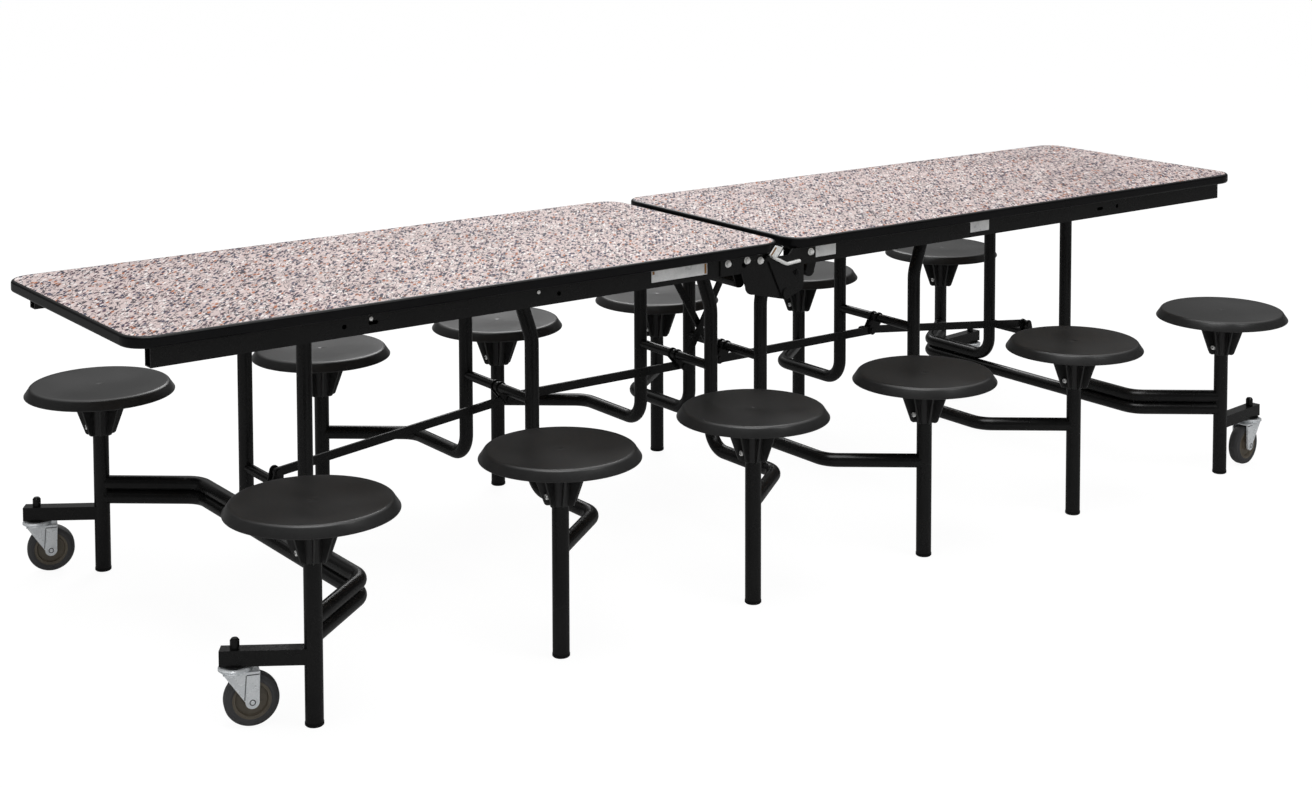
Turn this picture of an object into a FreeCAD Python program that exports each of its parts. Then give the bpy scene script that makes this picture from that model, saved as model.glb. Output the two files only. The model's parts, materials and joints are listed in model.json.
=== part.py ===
"""Folding cafeteria table with twelve attached swivel stools and four casters.

The table is two hinged halves on six tube frames.  Lifting the centre hinge folds both tops to
the vertical while every frame, and so every stool, stays upright.

Axes: X runs along the table, Y across it, Z up.  The origin is on the floor under the centre
hinge.  A frame, rod or plate is drawn on the +X half first, and the -X half is the same piece
turned by half a turn about Z.  All sizes are millimetres.
"""
import FreeCAD, Part
import math
import os

V = FreeCAD.Vector
ORIGIN = V(0, 0, 0)
UP = V(0, 0, 1)
ACROSS = V(0, 1, 0)
ALONG = V(1, 0, 0)

# Table top
table_height = 737.0
half_length = 1568.0
top_width = 686.0
centre_gap = 30.0
top_thickness = 24.0
laminate_thickness = 1.0
edge_band_width = 7.0
edge_band_round = 6.0
corner_radius = 55.0

# Side rails under each half
rail_depth = 42.0
rail_width = 27.0
rail_wall = 2.6
rail_inset = 24.0
rail_end_setback = 48.0
rail_centre_setback = 5.0
rail_slot_length = 22.0
rail_slot_width = 8.0
rail_slot_from_rod = 65.0

# Pivot rods that carry the frames
rod_radius = 7.0
rod_wall = 2.0
rod_drop = 45.0
pivot_clearance = 0.1

# Frames
leg_x_inner = 75.0
leg_x_middle = 575.0
leg_x_end = 1130.0
leg_half_spacing = 141.0
leg_tube_radius = 15.9
leg_tube_wall = 2.0
leg_lean = 45.0
leg_lean_drop = 136.0
leg_end_above_rod = 9.5
leg_top_bend_radius = 90.0
leg_foot_bend_radius = 52.0
arm_bend_radius = 60.0
arm_height = 222.0
arm_angle = 38.0
end_arm_height = 202.0
end_tube_spacing = 32.0
post_from_leg = 178.0
crossbar_radius = 11.0
crossbar_wall = 1.8
crossbar_share = 0.41277
end_bracket_drop = 24.0
spreader_radius = 14.0
spreader_drop = 47.0
spreader_clearance = 4.0
ear_thickness = 4.0
ear_radius = 13.0

# Stool posts
post_half_spacing = 520.0
post_radius = 17.5
post_wall = 2.0
glide_radius = 18.2
glide_height = 7.0
glide_edge = 2.0
glide_plug_height = 16.0
groove_width = 7.4
groove_depth = 1.2

# Link brackets, links and struts
link_pin_drop = 30.0
link_pin_offset = 22.0
link_pin_radius = 4.0
pin_collar_radius = 8.0
pin_collar_half = 1.7
pin_head_radius = 7.5
pin_head_height = 3.0
tab_inner_y = 8.4
tab_thickness = 4.0
tab_pin_radius = 11.0
tab_root_radius = 14.0
link_inner_y = 2.0
link_thickness = 6.0
inner_link_half_height = 10.0
inner_link_overrun = 11.0
outer_link_half_height = 9.5
outer_link_pin_shift = 64.0
slot_side_clearance = 2.0
slot_end_clearance = 1.5
open_pivot_clearance = 0.5

# Centre hinge
hinge_drop = 125.0
hinge_pin_radius = 8.0
hinge_plate_thickness = 4.0
hinge_layer_gap = 0.6
hinge_knuckle_radius = 15.0
hinge_pin_head_radius = 12.0
hinge_pin_head_height = 4.0
left_plate_reach = 188.0
left_plate_gap = 24.0
left_lobe_x = 95.0
left_lobe_drop = 52.0
left_lobe_radius = 20.0
right_plate_reach = 88.0
right_plate_flank = 52.0
right_plate_corner = 14.0
right_plate_tip = 52.0
right_plate_chamfer = 8.0
right_plate_shoulder = 20.0
right_pad_inset = 12.0

# Strut hangers under the top
hanger_pin_x = 110.0
hanger_thickness = 4.0
hanger_half_width = 20.0
hanger_flange_half = 26.0
hanger_flange_thickness = 3.0
hanger_nose_radius = 12.0
strut_gap = 0.5
strut_half_height = 8.0
strut_bolt_head_height = 4.0

# Latch handle at the centre hinge
latch_x = -58.0
latch_drop = 37.0
latch_layer_gap = 0.8
latch_plate_thickness = 3.0
latch_root_half = 7.0
latch_tab_right = 49.0
latch_tab_left = 30.0
latch_tab_rise = 30.0
latch_tab_corner_rise = 20.0
latch_rod_radius = 4.0
latch_pivot_radius = 4.0
latch_head_height = 2.0
latch_head_rim = 2.0
latch_grip_start = 14.0
latch_grip_bend = 55.0
latch_grip_end = 94.0
latch_grip_start_rise = 2.0
latch_grip_bend_drop = 19.0
latch_grip_end_drop = 16.0
latch_bend_radius = 14.0

# Seats
seat_height = 431.0
seat_radius = 166.0
seat_top_radius = 157.0
seat_rim_depth = 22.0
seat_wall = 5.0
seat_edge_round = 6.0
seat_dish_depth = 2.5
seat_dish_radius = 120.0
hub_height = 112.0
hub_top_radius = 70.0
hub_top_band = 6.0
hub_bottom_radius = 32.0
hub_corner_round = 8.0
hub_core_top_radius = 26.0
hub_core_bottom_radius = 22.0
hub_rib_count = 8
hub_rib_thickness = 4.0
hub_rib_overlap = 1.0
seat_clearance = 0.3
seat_screw_height = 335.0
seat_screw_radius = 3.0
seat_screw_head_radius = 5.5
seat_screw_head_height = 3.0

# Casters
caster_arm_height = 135.5
caster_arm_size = 30.0
caster_arm_wall = 2.5
caster_arm_length = 174.0
caster_reach = 146.0
left_caster_angle = 147.0
right_caster_angle = 8.0
caster_stem_radius = 6.0
caster_nut_radius = 9.0
caster_nut_height = 20.0
nut_crown_height = 4.0
nut_crown_inset = 3.0
stem_recess = 2.0
caster_washer_radius = 24.0
caster_washer_height = 3.0
washer_edge = 2.0
swivel_ring_radius = 32.0
swivel_ring_height = 8.0
ring_foot_inset = 5.0
ring_groove = 2.0
ring_head_inset = 4.0
swivel_gap = 0.3
fork_plate = 2.6
fork_inner_half = 18.5
fork_front = 44.0
fork_back = 24.0
fork_rib_width = 25.0
fork_rib_rise = 1.8
fork_rib_top_gap = 6.0
crown_radius = 26.0
fork_foot_radius = 13.0
fork_trail = 29.0
left_fork_angle = -19.0
right_fork_angle = 187.0
stem_head_radius = 9.0
stem_head_height = 3.0
wheel_radius = 52.0
wheel_width = 30.0
wheel_core_radius = 34.0
wheel_rim_depth = 5.0
wheel_core_draft = 2.0
tyre_shoulder = 5.0
wheel_core_width = 25.0
wheel_hub_radius = 12.0
wheel_web_recess = 5.0
wheel_tread_round = 9.0
wheel_floor_gap = 0.5
axle_radius = 5.0
axle_head_radius = 8.0
axle_head_height = 2.5

# Places that follow from the sizes above
centre_x = centre_gap / 2
top_underside = table_height - top_thickness
rod_height = table_height - rod_drop
rail_bottom = top_underside - rail_depth
rail_face_y = top_width / 2 - rail_inset
hinge_height = table_height - hinge_drop
leg_lean_height = rod_height - leg_lean_drop
spreader_height = rod_height - spreader_drop
crossbar_height = arm_height + crossbar_share * (rod_height - arm_height)
pivot_x_inner = leg_x_inner + leg_lean
pivot_x_middle = leg_x_middle + leg_lean
bend_y = post_half_spacing - post_from_leg * math.tan(math.radians(arm_angle))
link_pin_height = crossbar_height - link_pin_drop
inner_pin_x = leg_x_inner - link_pin_offset
middle_pin_x = leg_x_middle - link_pin_offset
end_pin_x = leg_x_end - leg_lean - link_pin_offset + outer_link_pin_shift
end_pin_height = link_pin_height - outer_link_pin_shift
end_crossbar_height = end_pin_height - end_bracket_drop
caster_arm_bottom = caster_arm_height - caster_arm_size / 2
ring_top = caster_arm_bottom - caster_washer_height - swivel_gap
fork_top = ring_top - swivel_ring_height
axle_height = wheel_radius + wheel_floor_gap
hub_bottom = seat_height - seat_wall - hub_height
post_top = seat_height - seat_wall - seat_clearance
outer_plate_face = rail_face_y + 2 * hinge_plate_thickness + hinge_layer_gap


def box(x0, x1, y0, y1, z0, z1):
    """Return a box between two corners."""
    return Part.makeBox(x1 - x0, y1 - y0, z1 - z0, V(x0, y0, z0))


def rod(start, end, radius):
    """Return a solid cylinder from one point to another."""
    axis = end - start
    return Part.makeCylinder(radius, axis.Length, start, axis)


def cross_rod(x, z, y0, y1, radius):
    """Return a solid cylinder that runs across the table."""
    return rod(V(x, y0, z), V(x, y1, z), radius)


def fuse(shapes):
    """Join solids of one piece."""
    joined = shapes[0]
    for shape in shapes[1:]:
        joined = joined.fuse(shape)
    return joined.removeSplitter()


def group(shapes):
    """Keep separate solids together in one node."""
    solids = [solid for shape in shapes for solid in shape.Solids]
    return Part.makeCompound(solids)


def outline(points, y, thickness):
    """Return a plate with an X-Z outline, from y to y + thickness."""
    corners = [V(x, y, z) for x, z in points]
    face = Part.Face(Part.makePolygon(corners + corners[:1]))
    return face.extrude(V(0, thickness, 0))


def revolved(profile, centre):
    """Return the solid of an (r, z) profile turned about a vertical axis."""
    corners = [centre + V(r, 0, z) for r, z in profile]
    face = Part.Face(Part.makePolygon(corners + corners[:1]))
    return face.revolve(centre, UP, 360)


def ring_face(centre, direction, outer, inner):
    """Return the flat ring or disc that a tube's wall has as its section."""
    disc = Part.Face(Part.Wire(Part.makeCircle(outer, centre, direction)))
    if inner <= 0:
        return disc
    hole = Part.Face(Part.Wire(Part.makeCircle(inner, centre, direction)))
    return disc.cut(hole)


def bent_tube(points, bends, radius, wall):
    """Return a tube along straight runs joined by tangent arcs.

    The bend radii are one for each inner point.
    """
    pieces = []
    start = points[0]
    for index in range(1, len(points)):
        run = (points[index] - points[index - 1]).normalize()
        if index == len(points) - 1:
            face = ring_face(start, run, radius, radius - wall)
            pieces.append(face.extrude(points[index] - start))
            break
        following = (points[index + 1] - points[index]).normalize()
        turn = run.getAngle(following)
        bend = bends[index - 1]
        tangent = bend * math.tan(turn / 2)
        arc_start = points[index] - run * tangent
        face = ring_face(start, run, radius, radius - wall)
        pieces.append(face.extrude(arc_start - start))
        axis = run.cross(following).normalize()
        centre = arc_start + axis.cross(run) * bend
        face = ring_face(arc_start, run, radius, radius - wall)
        pieces.append(face.revolve(centre, axis, math.degrees(turn)))
        start = points[index] + following * tangent
    return fuse(pieces)


def on_left(shape):
    """Turn a +X piece by half a turn about Z, onto the -X half."""
    turned = shape.copy()
    turned.rotate(ORIGIN, UP, 180)
    return turned


def rounded_slab(inset, z0, z1):
    """Return one half's table top outline as a slab with round corners."""
    x0 = centre_x + inset
    x1 = centre_x + half_length - inset
    y1 = top_width / 2 - inset
    slab = box(x0, x1, -y1, y1, z0, z1)
    upright = [edge for edge in slab.Edges if abs(edge.tangentAt(0).z) > 0.5]
    return slab.makeFillet(corner_radius - inset, upright)


def top_board():
    """Return the core board with its laminate sheet."""
    laminate_bottom = table_height - laminate_thickness
    core = rounded_slab(edge_band_width, top_underside, laminate_bottom)
    laminate = rounded_slab(edge_band_width, laminate_bottom, table_height)
    return group([core, laminate])


def edge_band():
    """Return the vinyl band round the board, with its outer edges rounded."""
    outer = rounded_slab(0, top_underside, table_height)
    rims = []
    for edge in outer.Edges:
        box_of_edge = edge.BoundBox
        if box_of_edge.ZLength < edge_band_width:
            rims.append(edge)
    outer = outer.makeFillet(edge_band_round, rims)
    inner = rounded_slab(edge_band_width, top_underside - edge_band_width,
                         table_height + edge_band_width)
    return outer.cut(inner)


def rod_places():
    """Return the x of each pivot rod on one half."""
    return [pivot_x_inner, pivot_x_middle, leg_x_end]


def side_rail():
    """Return the slotted tube rail on the -Y side of the +X half."""
    x0 = centre_x + rail_centre_setback
    x1 = centre_x + half_length - rail_end_setback
    back = -rail_face_y + rail_width
    rail = box(x0, x1, -rail_face_y, back, rail_bottom, top_underside)
    hollow = box(x0 - 1, x1 + 1, -rail_face_y + rail_wall, back - rail_wall,
                 rail_bottom + rail_wall, top_underside - rail_wall)
    rail = rail.cut(hollow)
    for x in rod_places():
        rail = rail.cut(cross_rod(x, rod_height, -rail_face_y - 1, back + 1, rod_radius))
    y0 = -rail_face_y - 1
    y1 = -rail_face_y + rail_wall + 1
    slot_x = leg_x_end - rail_slot_from_rod
    half_slot = (rail_slot_length - rail_slot_width) / 2
    slot_radius = rail_slot_width / 2
    rail = rail.cut(box(slot_x - half_slot, slot_x + half_slot, y0, y1,
                        rod_height - slot_radius, rod_height + slot_radius))
    for end in (-half_slot, half_slot):
        rail = rail.cut(cross_rod(slot_x + end, rod_height, y0, y1, slot_radius))
    return rail


def strut_pin_height():
    """Return the height of the strut's upper pivot.

    It makes the strut as long between its pivots with the table flat as with it folded.
    """
    across = leg_x_inner + leg_lean
    rise = rod_height - hinge_height
    drop = rod_height - link_pin_height
    pin_shift = across - inner_pin_x
    flat_run = inner_pin_x + hanger_pin_x
    flat_fall = drop - rise
    folded_run = rise - pin_shift
    folded_fall = across + drop - hanger_pin_x
    spare = folded_run ** 2 + folded_fall ** 2 - flat_run ** 2 - flat_fall ** 2
    return hinge_height + spare / (2 * (flat_fall - folded_run))


def strut_hanger():
    """Return the plate that hangs under the top and carries the other half's strut."""
    pin_z = strut_pin_height()
    half = hanger_half_width
    flange = box(hanger_pin_x - hanger_flange_half, hanger_pin_x + hanger_flange_half,
                 -hanger_flange_half, hanger_flange_half,
                 top_underside - hanger_flange_thickness, top_underside)
    web = outline([(hanger_pin_x - half, top_underside - hanger_flange_thickness),
                   (hanger_pin_x + half, top_underside - hanger_flange_thickness),
                   (hanger_pin_x + hanger_nose_radius, pin_z),
                   (hanger_pin_x - hanger_nose_radius, pin_z)], 0, hanger_thickness)
    nose = cross_rod(hanger_pin_x, pin_z, 0, hanger_thickness, hanger_nose_radius)
    hanger = fuse([flange, web, nose])
    rod_hole = cross_rod(pivot_x_inner, rod_height, -hanger_flange_half, hanger_flange_half,
                         rod_radius)
    return hanger.cut(rod_hole)


def top_rails():
    """Return both rails of one half and its strut hanger."""
    near = side_rail()
    far = near.mirror(ORIGIN, ACROSS)
    return group([near, far, strut_hanger()])


def pivot_rods():
    """Return the tubular rods that run through the rails and carry the frames."""
    rods = []
    for x in rod_places():
        tube = cross_rod(x, rod_height, -rail_face_y, rail_face_y, rod_radius)
        bore = cross_rod(x, rod_height, -rail_face_y - 1, rail_face_y + 1, rod_radius - rod_wall)
        rods.append(tube.cut(bore))
    return rods


def hinge_pins():
    """Return the two short pins of the centre hinge, with their heads."""
    pins = []
    for side in (-1, 1):
        inside = side * (rail_face_y - hinge_pin_head_height)
        seat = side * rail_face_y
        outside = side * (outer_plate_face + seat_clearance)
        cap = side * (outer_plate_face + seat_clearance + hinge_pin_head_height)
        shank = cross_rod(0, hinge_height, seat, outside, hinge_pin_radius)
        foot = cross_rod(0, hinge_height, inside, seat, hinge_pin_head_radius)
        head = cross_rod(0, hinge_height, outside, cap, hinge_pin_head_radius)
        pins.append(fuse([foot, shank, head]))
    return pins


def hinge_plate_blank(points, lobes, y0):
    """Return a hinge plate of a given outline, with round knuckles."""
    blank = outline(points, y0, hinge_plate_thickness)
    for x, z, radius in lobes:
        disc = cross_rod(x, z, y0, y0 + hinge_plate_thickness, radius)
        blank = blank.fuse(disc)
    return blank.removeSplitter()


def left_hinge_plates():
    """Return the inner-layer hinge plates, which lie on the left half's rails."""
    y0 = -rail_face_y - hinge_plate_thickness
    y1 = -rail_face_y
    knuckle = hinge_knuckle_radius
    lobe = left_lobe_radius
    lobe_z = rod_height - left_lobe_drop
    rail_edge = rail_bottom + rail_wall
    points = [(-left_plate_reach, top_underside), (-left_plate_gap, top_underside),
              (knuckle * 0.6, hinge_height + knuckle), (0, hinge_height - knuckle),
              (-left_lobe_x, lobe_z - lobe), (-left_lobe_x - lobe, lobe_z),
              (-left_lobe_x - 1.6 * lobe, rail_edge), (-left_plate_reach, rail_edge)]
    lobes = [(0, hinge_height, knuckle), (-left_lobe_x, lobe_z, lobe)]
    plate = hinge_plate_blank(points, lobes, y0)
    for x, z, radius in ((0, hinge_height, hinge_pin_radius), (-pivot_x_inner, rod_height, rod_radius)):
        plate = plate.cut(cross_rod(x, z, y0 - 1, y1 + 1, radius))
    return group([plate, plate.mirror(ORIGIN, ACROSS)])


def right_hinge_plates():
    """Return the outer-layer hinge plates, spaced off the right half's rails by a pad."""
    y0 = -outer_plate_face
    y1 = -rail_face_y
    knuckle = hinge_knuckle_radius
    reach = right_plate_reach
    flank = right_plate_flank
    corner = right_plate_corner
    tip = right_plate_tip
    chamfer = right_plate_chamfer
    rail_edge = rail_bottom + rail_wall
    points = [(reach, top_underside), (reach, rail_edge), (flank, rail_edge),
              (flank, hinge_height + corner), (flank - corner, hinge_height),
              (0, hinge_height - knuckle), (-knuckle, hinge_height), (-tip, rod_height),
              (chamfer - tip, rod_height + chamfer), (chamfer, rod_height + chamfer),
              (right_plate_shoulder, top_underside)]
    lobes = [(0, hinge_height, knuckle), (flank - corner, hinge_height + corner, corner)]
    plate = hinge_plate_blank(points, lobes, y0)
    pad = box(centre_x + rail_centre_setback + right_pad_inset, reach, y0 + hinge_plate_thickness, y1,
              rail_edge, top_underside)
    plate = plate.fuse(pad).removeSplitter()
    plate = plate.cut(cross_rod(0, hinge_height, y0 - 1, y1 + 1, hinge_pin_radius + pivot_clearance))
    return group([plate, plate.mirror(ORIGIN, ACROSS)])


def leg_points(leg_x, pivot_x, foot_height, side):
    """Return the centre line of one leg and its stool arm."""
    y = side * leg_half_spacing
    lean_foot = V(leg_x, y, leg_lean_height)
    pivot = V(pivot_x, y, rod_height)
    top = pivot + (pivot - lean_foot).normalize() * leg_end_above_rod
    post_x = leg_x + post_from_leg
    run = [V(leg_x, y, foot_height), V(leg_x, side * bend_y, foot_height),
           V(post_x, side * post_half_spacing, foot_height)]
    if abs(pivot_x - leg_x) < 1:
        return [top] + run, [leg_foot_bend_radius, arm_bend_radius]
    return [top, lean_foot] + run, [leg_top_bend_radius, leg_foot_bend_radius, arm_bend_radius]


def post_envelope(leg_x, side):
    """Return the outside of one stool post as a solid."""
    foot = V(leg_x + post_from_leg, side * post_half_spacing, 0)
    return Part.makeCylinder(post_radius, post_top, foot)


def frame_legs(leg_x, pivot_x, foot_height):
    """Return the two leg tubes of a frame, bored for the pivot rod and coped to the posts."""
    legs = []
    for side in (-1, 1):
        points, bends = leg_points(leg_x, pivot_x, foot_height, side)
        leg = bent_tube(points, bends, leg_tube_radius, leg_tube_wall)
        leg = leg.cut(cross_rod(pivot_x, rod_height, side * leg_half_spacing - post_half_spacing,
                                side * leg_half_spacing + post_half_spacing,
                                rod_radius + pivot_clearance))
        legs.append(leg.cut(post_envelope(leg_x, side)))
    return group(legs)


def crossbar(leg_x, height):
    """Return the round bar between the legs, coped to them."""
    bar = cross_rod(leg_x, height, -leg_half_spacing, leg_half_spacing, crossbar_radius)
    bore = cross_rod(leg_x, height, -leg_half_spacing, leg_half_spacing,
                     crossbar_radius - crossbar_wall)
    bar = bar.cut(bore)
    for side in (-1, 1):
        foot = V(leg_x, side * leg_half_spacing, height - 2 * leg_tube_radius)
        bar = bar.cut(Part.makeCylinder(leg_tube_radius, 4 * leg_tube_radius, foot))
    return bar


def link_bracket(bar_x, bar_z, pin_x, pin_z):
    """Return two tabs on a crossbar and the headed link pin between them."""
    tabs = []
    length = math.hypot(pin_x - bar_x, pin_z - bar_z)
    along_x = (pin_x - bar_x) / length
    along_z = (pin_z - bar_z) / length
    corners = [(bar_x - along_z * tab_root_radius, bar_z + along_x * tab_root_radius),
               (bar_x + along_z * tab_root_radius, bar_z - along_x * tab_root_radius),
               (pin_x + along_z * tab_pin_radius, pin_z - along_x * tab_pin_radius),
               (pin_x - along_z * tab_pin_radius, pin_z + along_x * tab_pin_radius)]
    for y0 in (tab_inner_y, -tab_inner_y - tab_thickness):
        tab = outline(corners, y0, tab_thickness)
        for x, z, radius in ((bar_x, bar_z, tab_root_radius), (pin_x, pin_z, tab_pin_radius)):
            tab = tab.fuse(cross_rod(x, z, y0, y0 + tab_thickness, radius))
        tab = tab.removeSplitter()
        for x, z, radius in ((bar_x, bar_z, crossbar_radius), (pin_x, pin_z, link_pin_radius)):
            tab = tab.cut(cross_rod(x, z, y0 - 1, y0 + tab_thickness + 1, radius))
        tabs.append(tab)
    outside = tab_inner_y + tab_thickness
    pin = fuse([cross_rod(pin_x, pin_z, -outside, outside, link_pin_radius),
                cross_rod(pin_x, pin_z, -pin_collar_half, pin_collar_half, pin_collar_radius),
                cross_rod(pin_x, pin_z, outside, outside + pin_head_height, pin_head_radius),
                cross_rod(pin_x, pin_z, -outside - pin_head_height, -outside, pin_head_radius)])
    return tabs + [pin]


def spreaders(leg_x, pivot_x):
    """Return the stub tubes from the leg tops out to the rails, and their ears on the rod."""
    lean_share = (spreader_height - leg_lean_height) / (rod_height - leg_lean_height)
    x = leg_x + (pivot_x - leg_x) * lean_share
    end_y = rail_face_y - rail_width - spreader_clearance - ear_thickness
    stubs = []
    for side in (-1, 1):
        y = side * leg_half_spacing
        points = [V(x, y, spreader_height), V(x, side * end_y, spreader_height)]
        stub = bent_tube(points, [], spreader_radius, leg_tube_wall)
        leg_axis = V(pivot_x, y, rod_height) - V(leg_x, y, leg_lean_height)
        start = V(leg_x, y, leg_lean_height)
        stubs.append(stub.cut(rod(start, start + leg_axis, leg_tube_radius)))
        y0 = min(side * end_y, side * (end_y + ear_thickness))
        ear = outline([(x - ear_radius, spreader_height), (x + ear_radius, spreader_height),
                       (pivot_x + ear_radius, rod_height), (pivot_x - ear_radius, rod_height)],
                      y0, ear_thickness)
        for ear_x, ear_z in ((x, spreader_height), (pivot_x, rod_height)):
            ear = ear.fuse(cross_rod(ear_x, ear_z, y0, y0 + ear_thickness, ear_radius))
        ear = ear.removeSplitter()
        hole = cross_rod(pivot_x, rod_height, y0 - 1, y0 + ear_thickness + 1, rod_radius + pivot_clearance)
        stubs.append(ear.cut(hole))
    return stubs


def frame_posts(leg_x):
    """Return the two stool posts of a frame, grooved for the seat screws, with their glides."""
    solids = []
    for side in (-1, 1):
        foot = V(leg_x + post_from_leg, side * post_half_spacing, 0)
        profile = [(post_radius - post_wall, glide_height), (post_radius, glide_height),
                   (post_radius, seat_screw_height - groove_width / 2),
                   (post_radius - groove_depth, seat_screw_height - groove_width / 2),
                   (post_radius - groove_depth, seat_screw_height + groove_width / 2),
                   (post_radius, seat_screw_height + groove_width / 2),
                   (post_radius, post_top), (post_radius - post_wall, post_top)]
        solids.append(revolved(profile, foot))
        plug_radius = post_radius - post_wall
        glide = [(0, 0), (glide_radius - glide_edge, 0), (glide_radius, glide_edge),
                 (glide_radius, glide_height),
                 (plug_radius, glide_height), (plug_radius, glide_height + glide_plug_height),
                 (0, glide_height + glide_plug_height)]
        solids.append(revolved(glide, foot))
    return group(solids)


def end_lower_tube():
    """Return the lower cross tube of an end frame, from post to post under the leg feet."""
    z = end_arm_height - end_tube_spacing
    post_x = leg_x_end + post_from_leg
    points = [V(post_x, -post_half_spacing, z), V(leg_x_end, -bend_y, z),
              V(leg_x_end, bend_y, z), V(post_x, post_half_spacing, z)]
    tube = bent_tube(points, [arm_bend_radius, arm_bend_radius], leg_tube_radius, leg_tube_wall)
    for side in (-1, 1):
        tube = tube.cut(post_envelope(leg_x_end, side))
    return tube


def caster_centre(mirror_side, side):
    """Return the floor point under one caster's swivel axis.

    The first value is -1 on the left half and 1 on the right, the second the row.
    """
    angle = math.radians(right_caster_angle if mirror_side > 0 else left_caster_angle)
    x = mirror_side * (leg_x_end + post_from_leg) + caster_reach * math.cos(angle)
    return V(x, side * post_half_spacing + caster_reach * math.sin(angle), 0)


def caster_arms(mirror_side):
    """Return the square caster arms of one end, with stems, nuts and washers."""
    angle = right_caster_angle if mirror_side > 0 else left_caster_angle
    half = caster_arm_size / 2
    inner = half - caster_arm_wall
    solids = []
    for side in (-1, 1):
        post = V(mirror_side * (leg_x_end + post_from_leg), side * post_half_spacing, 0)
        low = caster_arm_height - half
        high = caster_arm_height + half
        arm = box(0, caster_arm_length, -half, half, low, high)
        arm = arm.cut(box(-1, caster_arm_length + 1, -inner, inner, low + caster_arm_wall,
                          high - caster_arm_wall))
        arm = arm.cut(Part.makeCylinder(post_radius, 3 * high, V(0, 0, -high)))
        stem_foot = V(caster_reach, 0, fork_top - fork_plate - stem_head_height)
        arm = arm.cut(Part.makeCylinder(caster_stem_radius, 3 * high, V(caster_reach, 0, -high)))
        stem_top = high + caster_nut_height
        stem = fuse([Part.makeCylinder(stem_head_radius, stem_head_height, stem_foot),
                     Part.makeCylinder(caster_stem_radius, stem_top - stem_foot.z - stem_recess,
                                      stem_foot)])
        nut = revolved([(caster_stem_radius, high), (caster_nut_radius, high),
                        (caster_nut_radius, stem_top - nut_crown_height),
                        (caster_nut_radius - nut_crown_inset, stem_top),
                        (0, stem_top), (0, stem_top - stem_recess),
                        (caster_stem_radius, stem_top - stem_recess)],
                       V(caster_reach, 0, 0))
        washer = revolved([(caster_stem_radius, low - caster_washer_height),
                           (caster_washer_radius - washer_edge, low - caster_washer_height),
                           (caster_washer_radius, low), (caster_stem_radius, low)],
                          V(caster_reach, 0, 0))
        for solid in (arm, stem, nut, washer):
            solid.rotate(ORIGIN, UP, angle)
            solid.translate(post)
            solids.append(solid)
    return group(solids)


def fork(mirror_side, side):
    """Return one caster's swivel rings, pressed fork and riveted axle."""
    rise = swivel_ring_height
    bore = caster_stem_radius + pivot_clearance
    rings = revolved([(bore, fork_top), (swivel_ring_radius - ring_foot_inset, fork_top),
                      (swivel_ring_radius, fork_top + 0.3 * rise),
                      (swivel_ring_radius - ring_groove, fork_top + 0.5 * rise),
                      (swivel_ring_radius, fork_top + 0.7 * rise),
                      (swivel_ring_radius - ring_head_inset, fork_top + rise), (bore, fork_top + rise)],
                     V(0, 0, 0))
    outer_half = fork_inner_half + fork_plate
    under = fork_top - fork_plate
    plate = fuse([Part.makeCylinder(crown_radius, fork_plate, V(0, 0, under)),
                  box(-fork_back, fork_front, -outer_half, outer_half, under, fork_top)])
    plate = plate.cut(Part.makeCylinder(bore, rise, V(0, 0, under - 1)))
    cheeks = []
    for y0 in (-outer_half, fork_inner_half):
        cheek = outline([(-fork_back, fork_top), (fork_front, fork_top),
                         (fork_trail + fork_foot_radius, axle_height),
                         (fork_trail - fork_foot_radius, axle_height)], y0, fork_plate)
        foot = cross_rod(fork_trail, axle_height, y0, y0 + fork_plate, fork_foot_radius)
        cheeks.append(cheek.fuse(foot).removeSplitter())
    rib_top = fork_top - fork_rib_top_gap
    for y0 in (-outer_half - fork_rib_rise, outer_half):
        rib = outline([(fork_front - fork_rib_width, rib_top), (fork_front - 1, rib_top),
                       (fork_trail + fork_foot_radius, axle_height),
                       (fork_trail - fork_foot_radius, axle_height)], y0, fork_rib_rise)
        foot = cross_rod(fork_trail, axle_height, y0, y0 + fork_rib_rise, fork_foot_radius)
        cheeks.append(rib.fuse(foot).removeSplitter())
    body = fuse([plate] + cheeks)
    rib_half = outer_half + fork_rib_rise
    body = body.cut(cross_rod(fork_trail, axle_height, -rib_half - 1, rib_half + 1, axle_radius))
    head_half = rib_half + axle_head_height
    axle = fuse([cross_rod(fork_trail, axle_height, -rib_half, rib_half, axle_radius),
                 cross_rod(fork_trail, axle_height, rib_half, head_half, axle_head_radius),
                 cross_rod(fork_trail, axle_height, -head_half, -rib_half, axle_head_radius)])
    placed = group([rings, body, axle])
    placed.rotate(ORIGIN, UP, right_fork_angle if mirror_side > 0 else left_fork_angle)
    placed.translate(caster_centre(mirror_side, side))
    return placed


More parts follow.
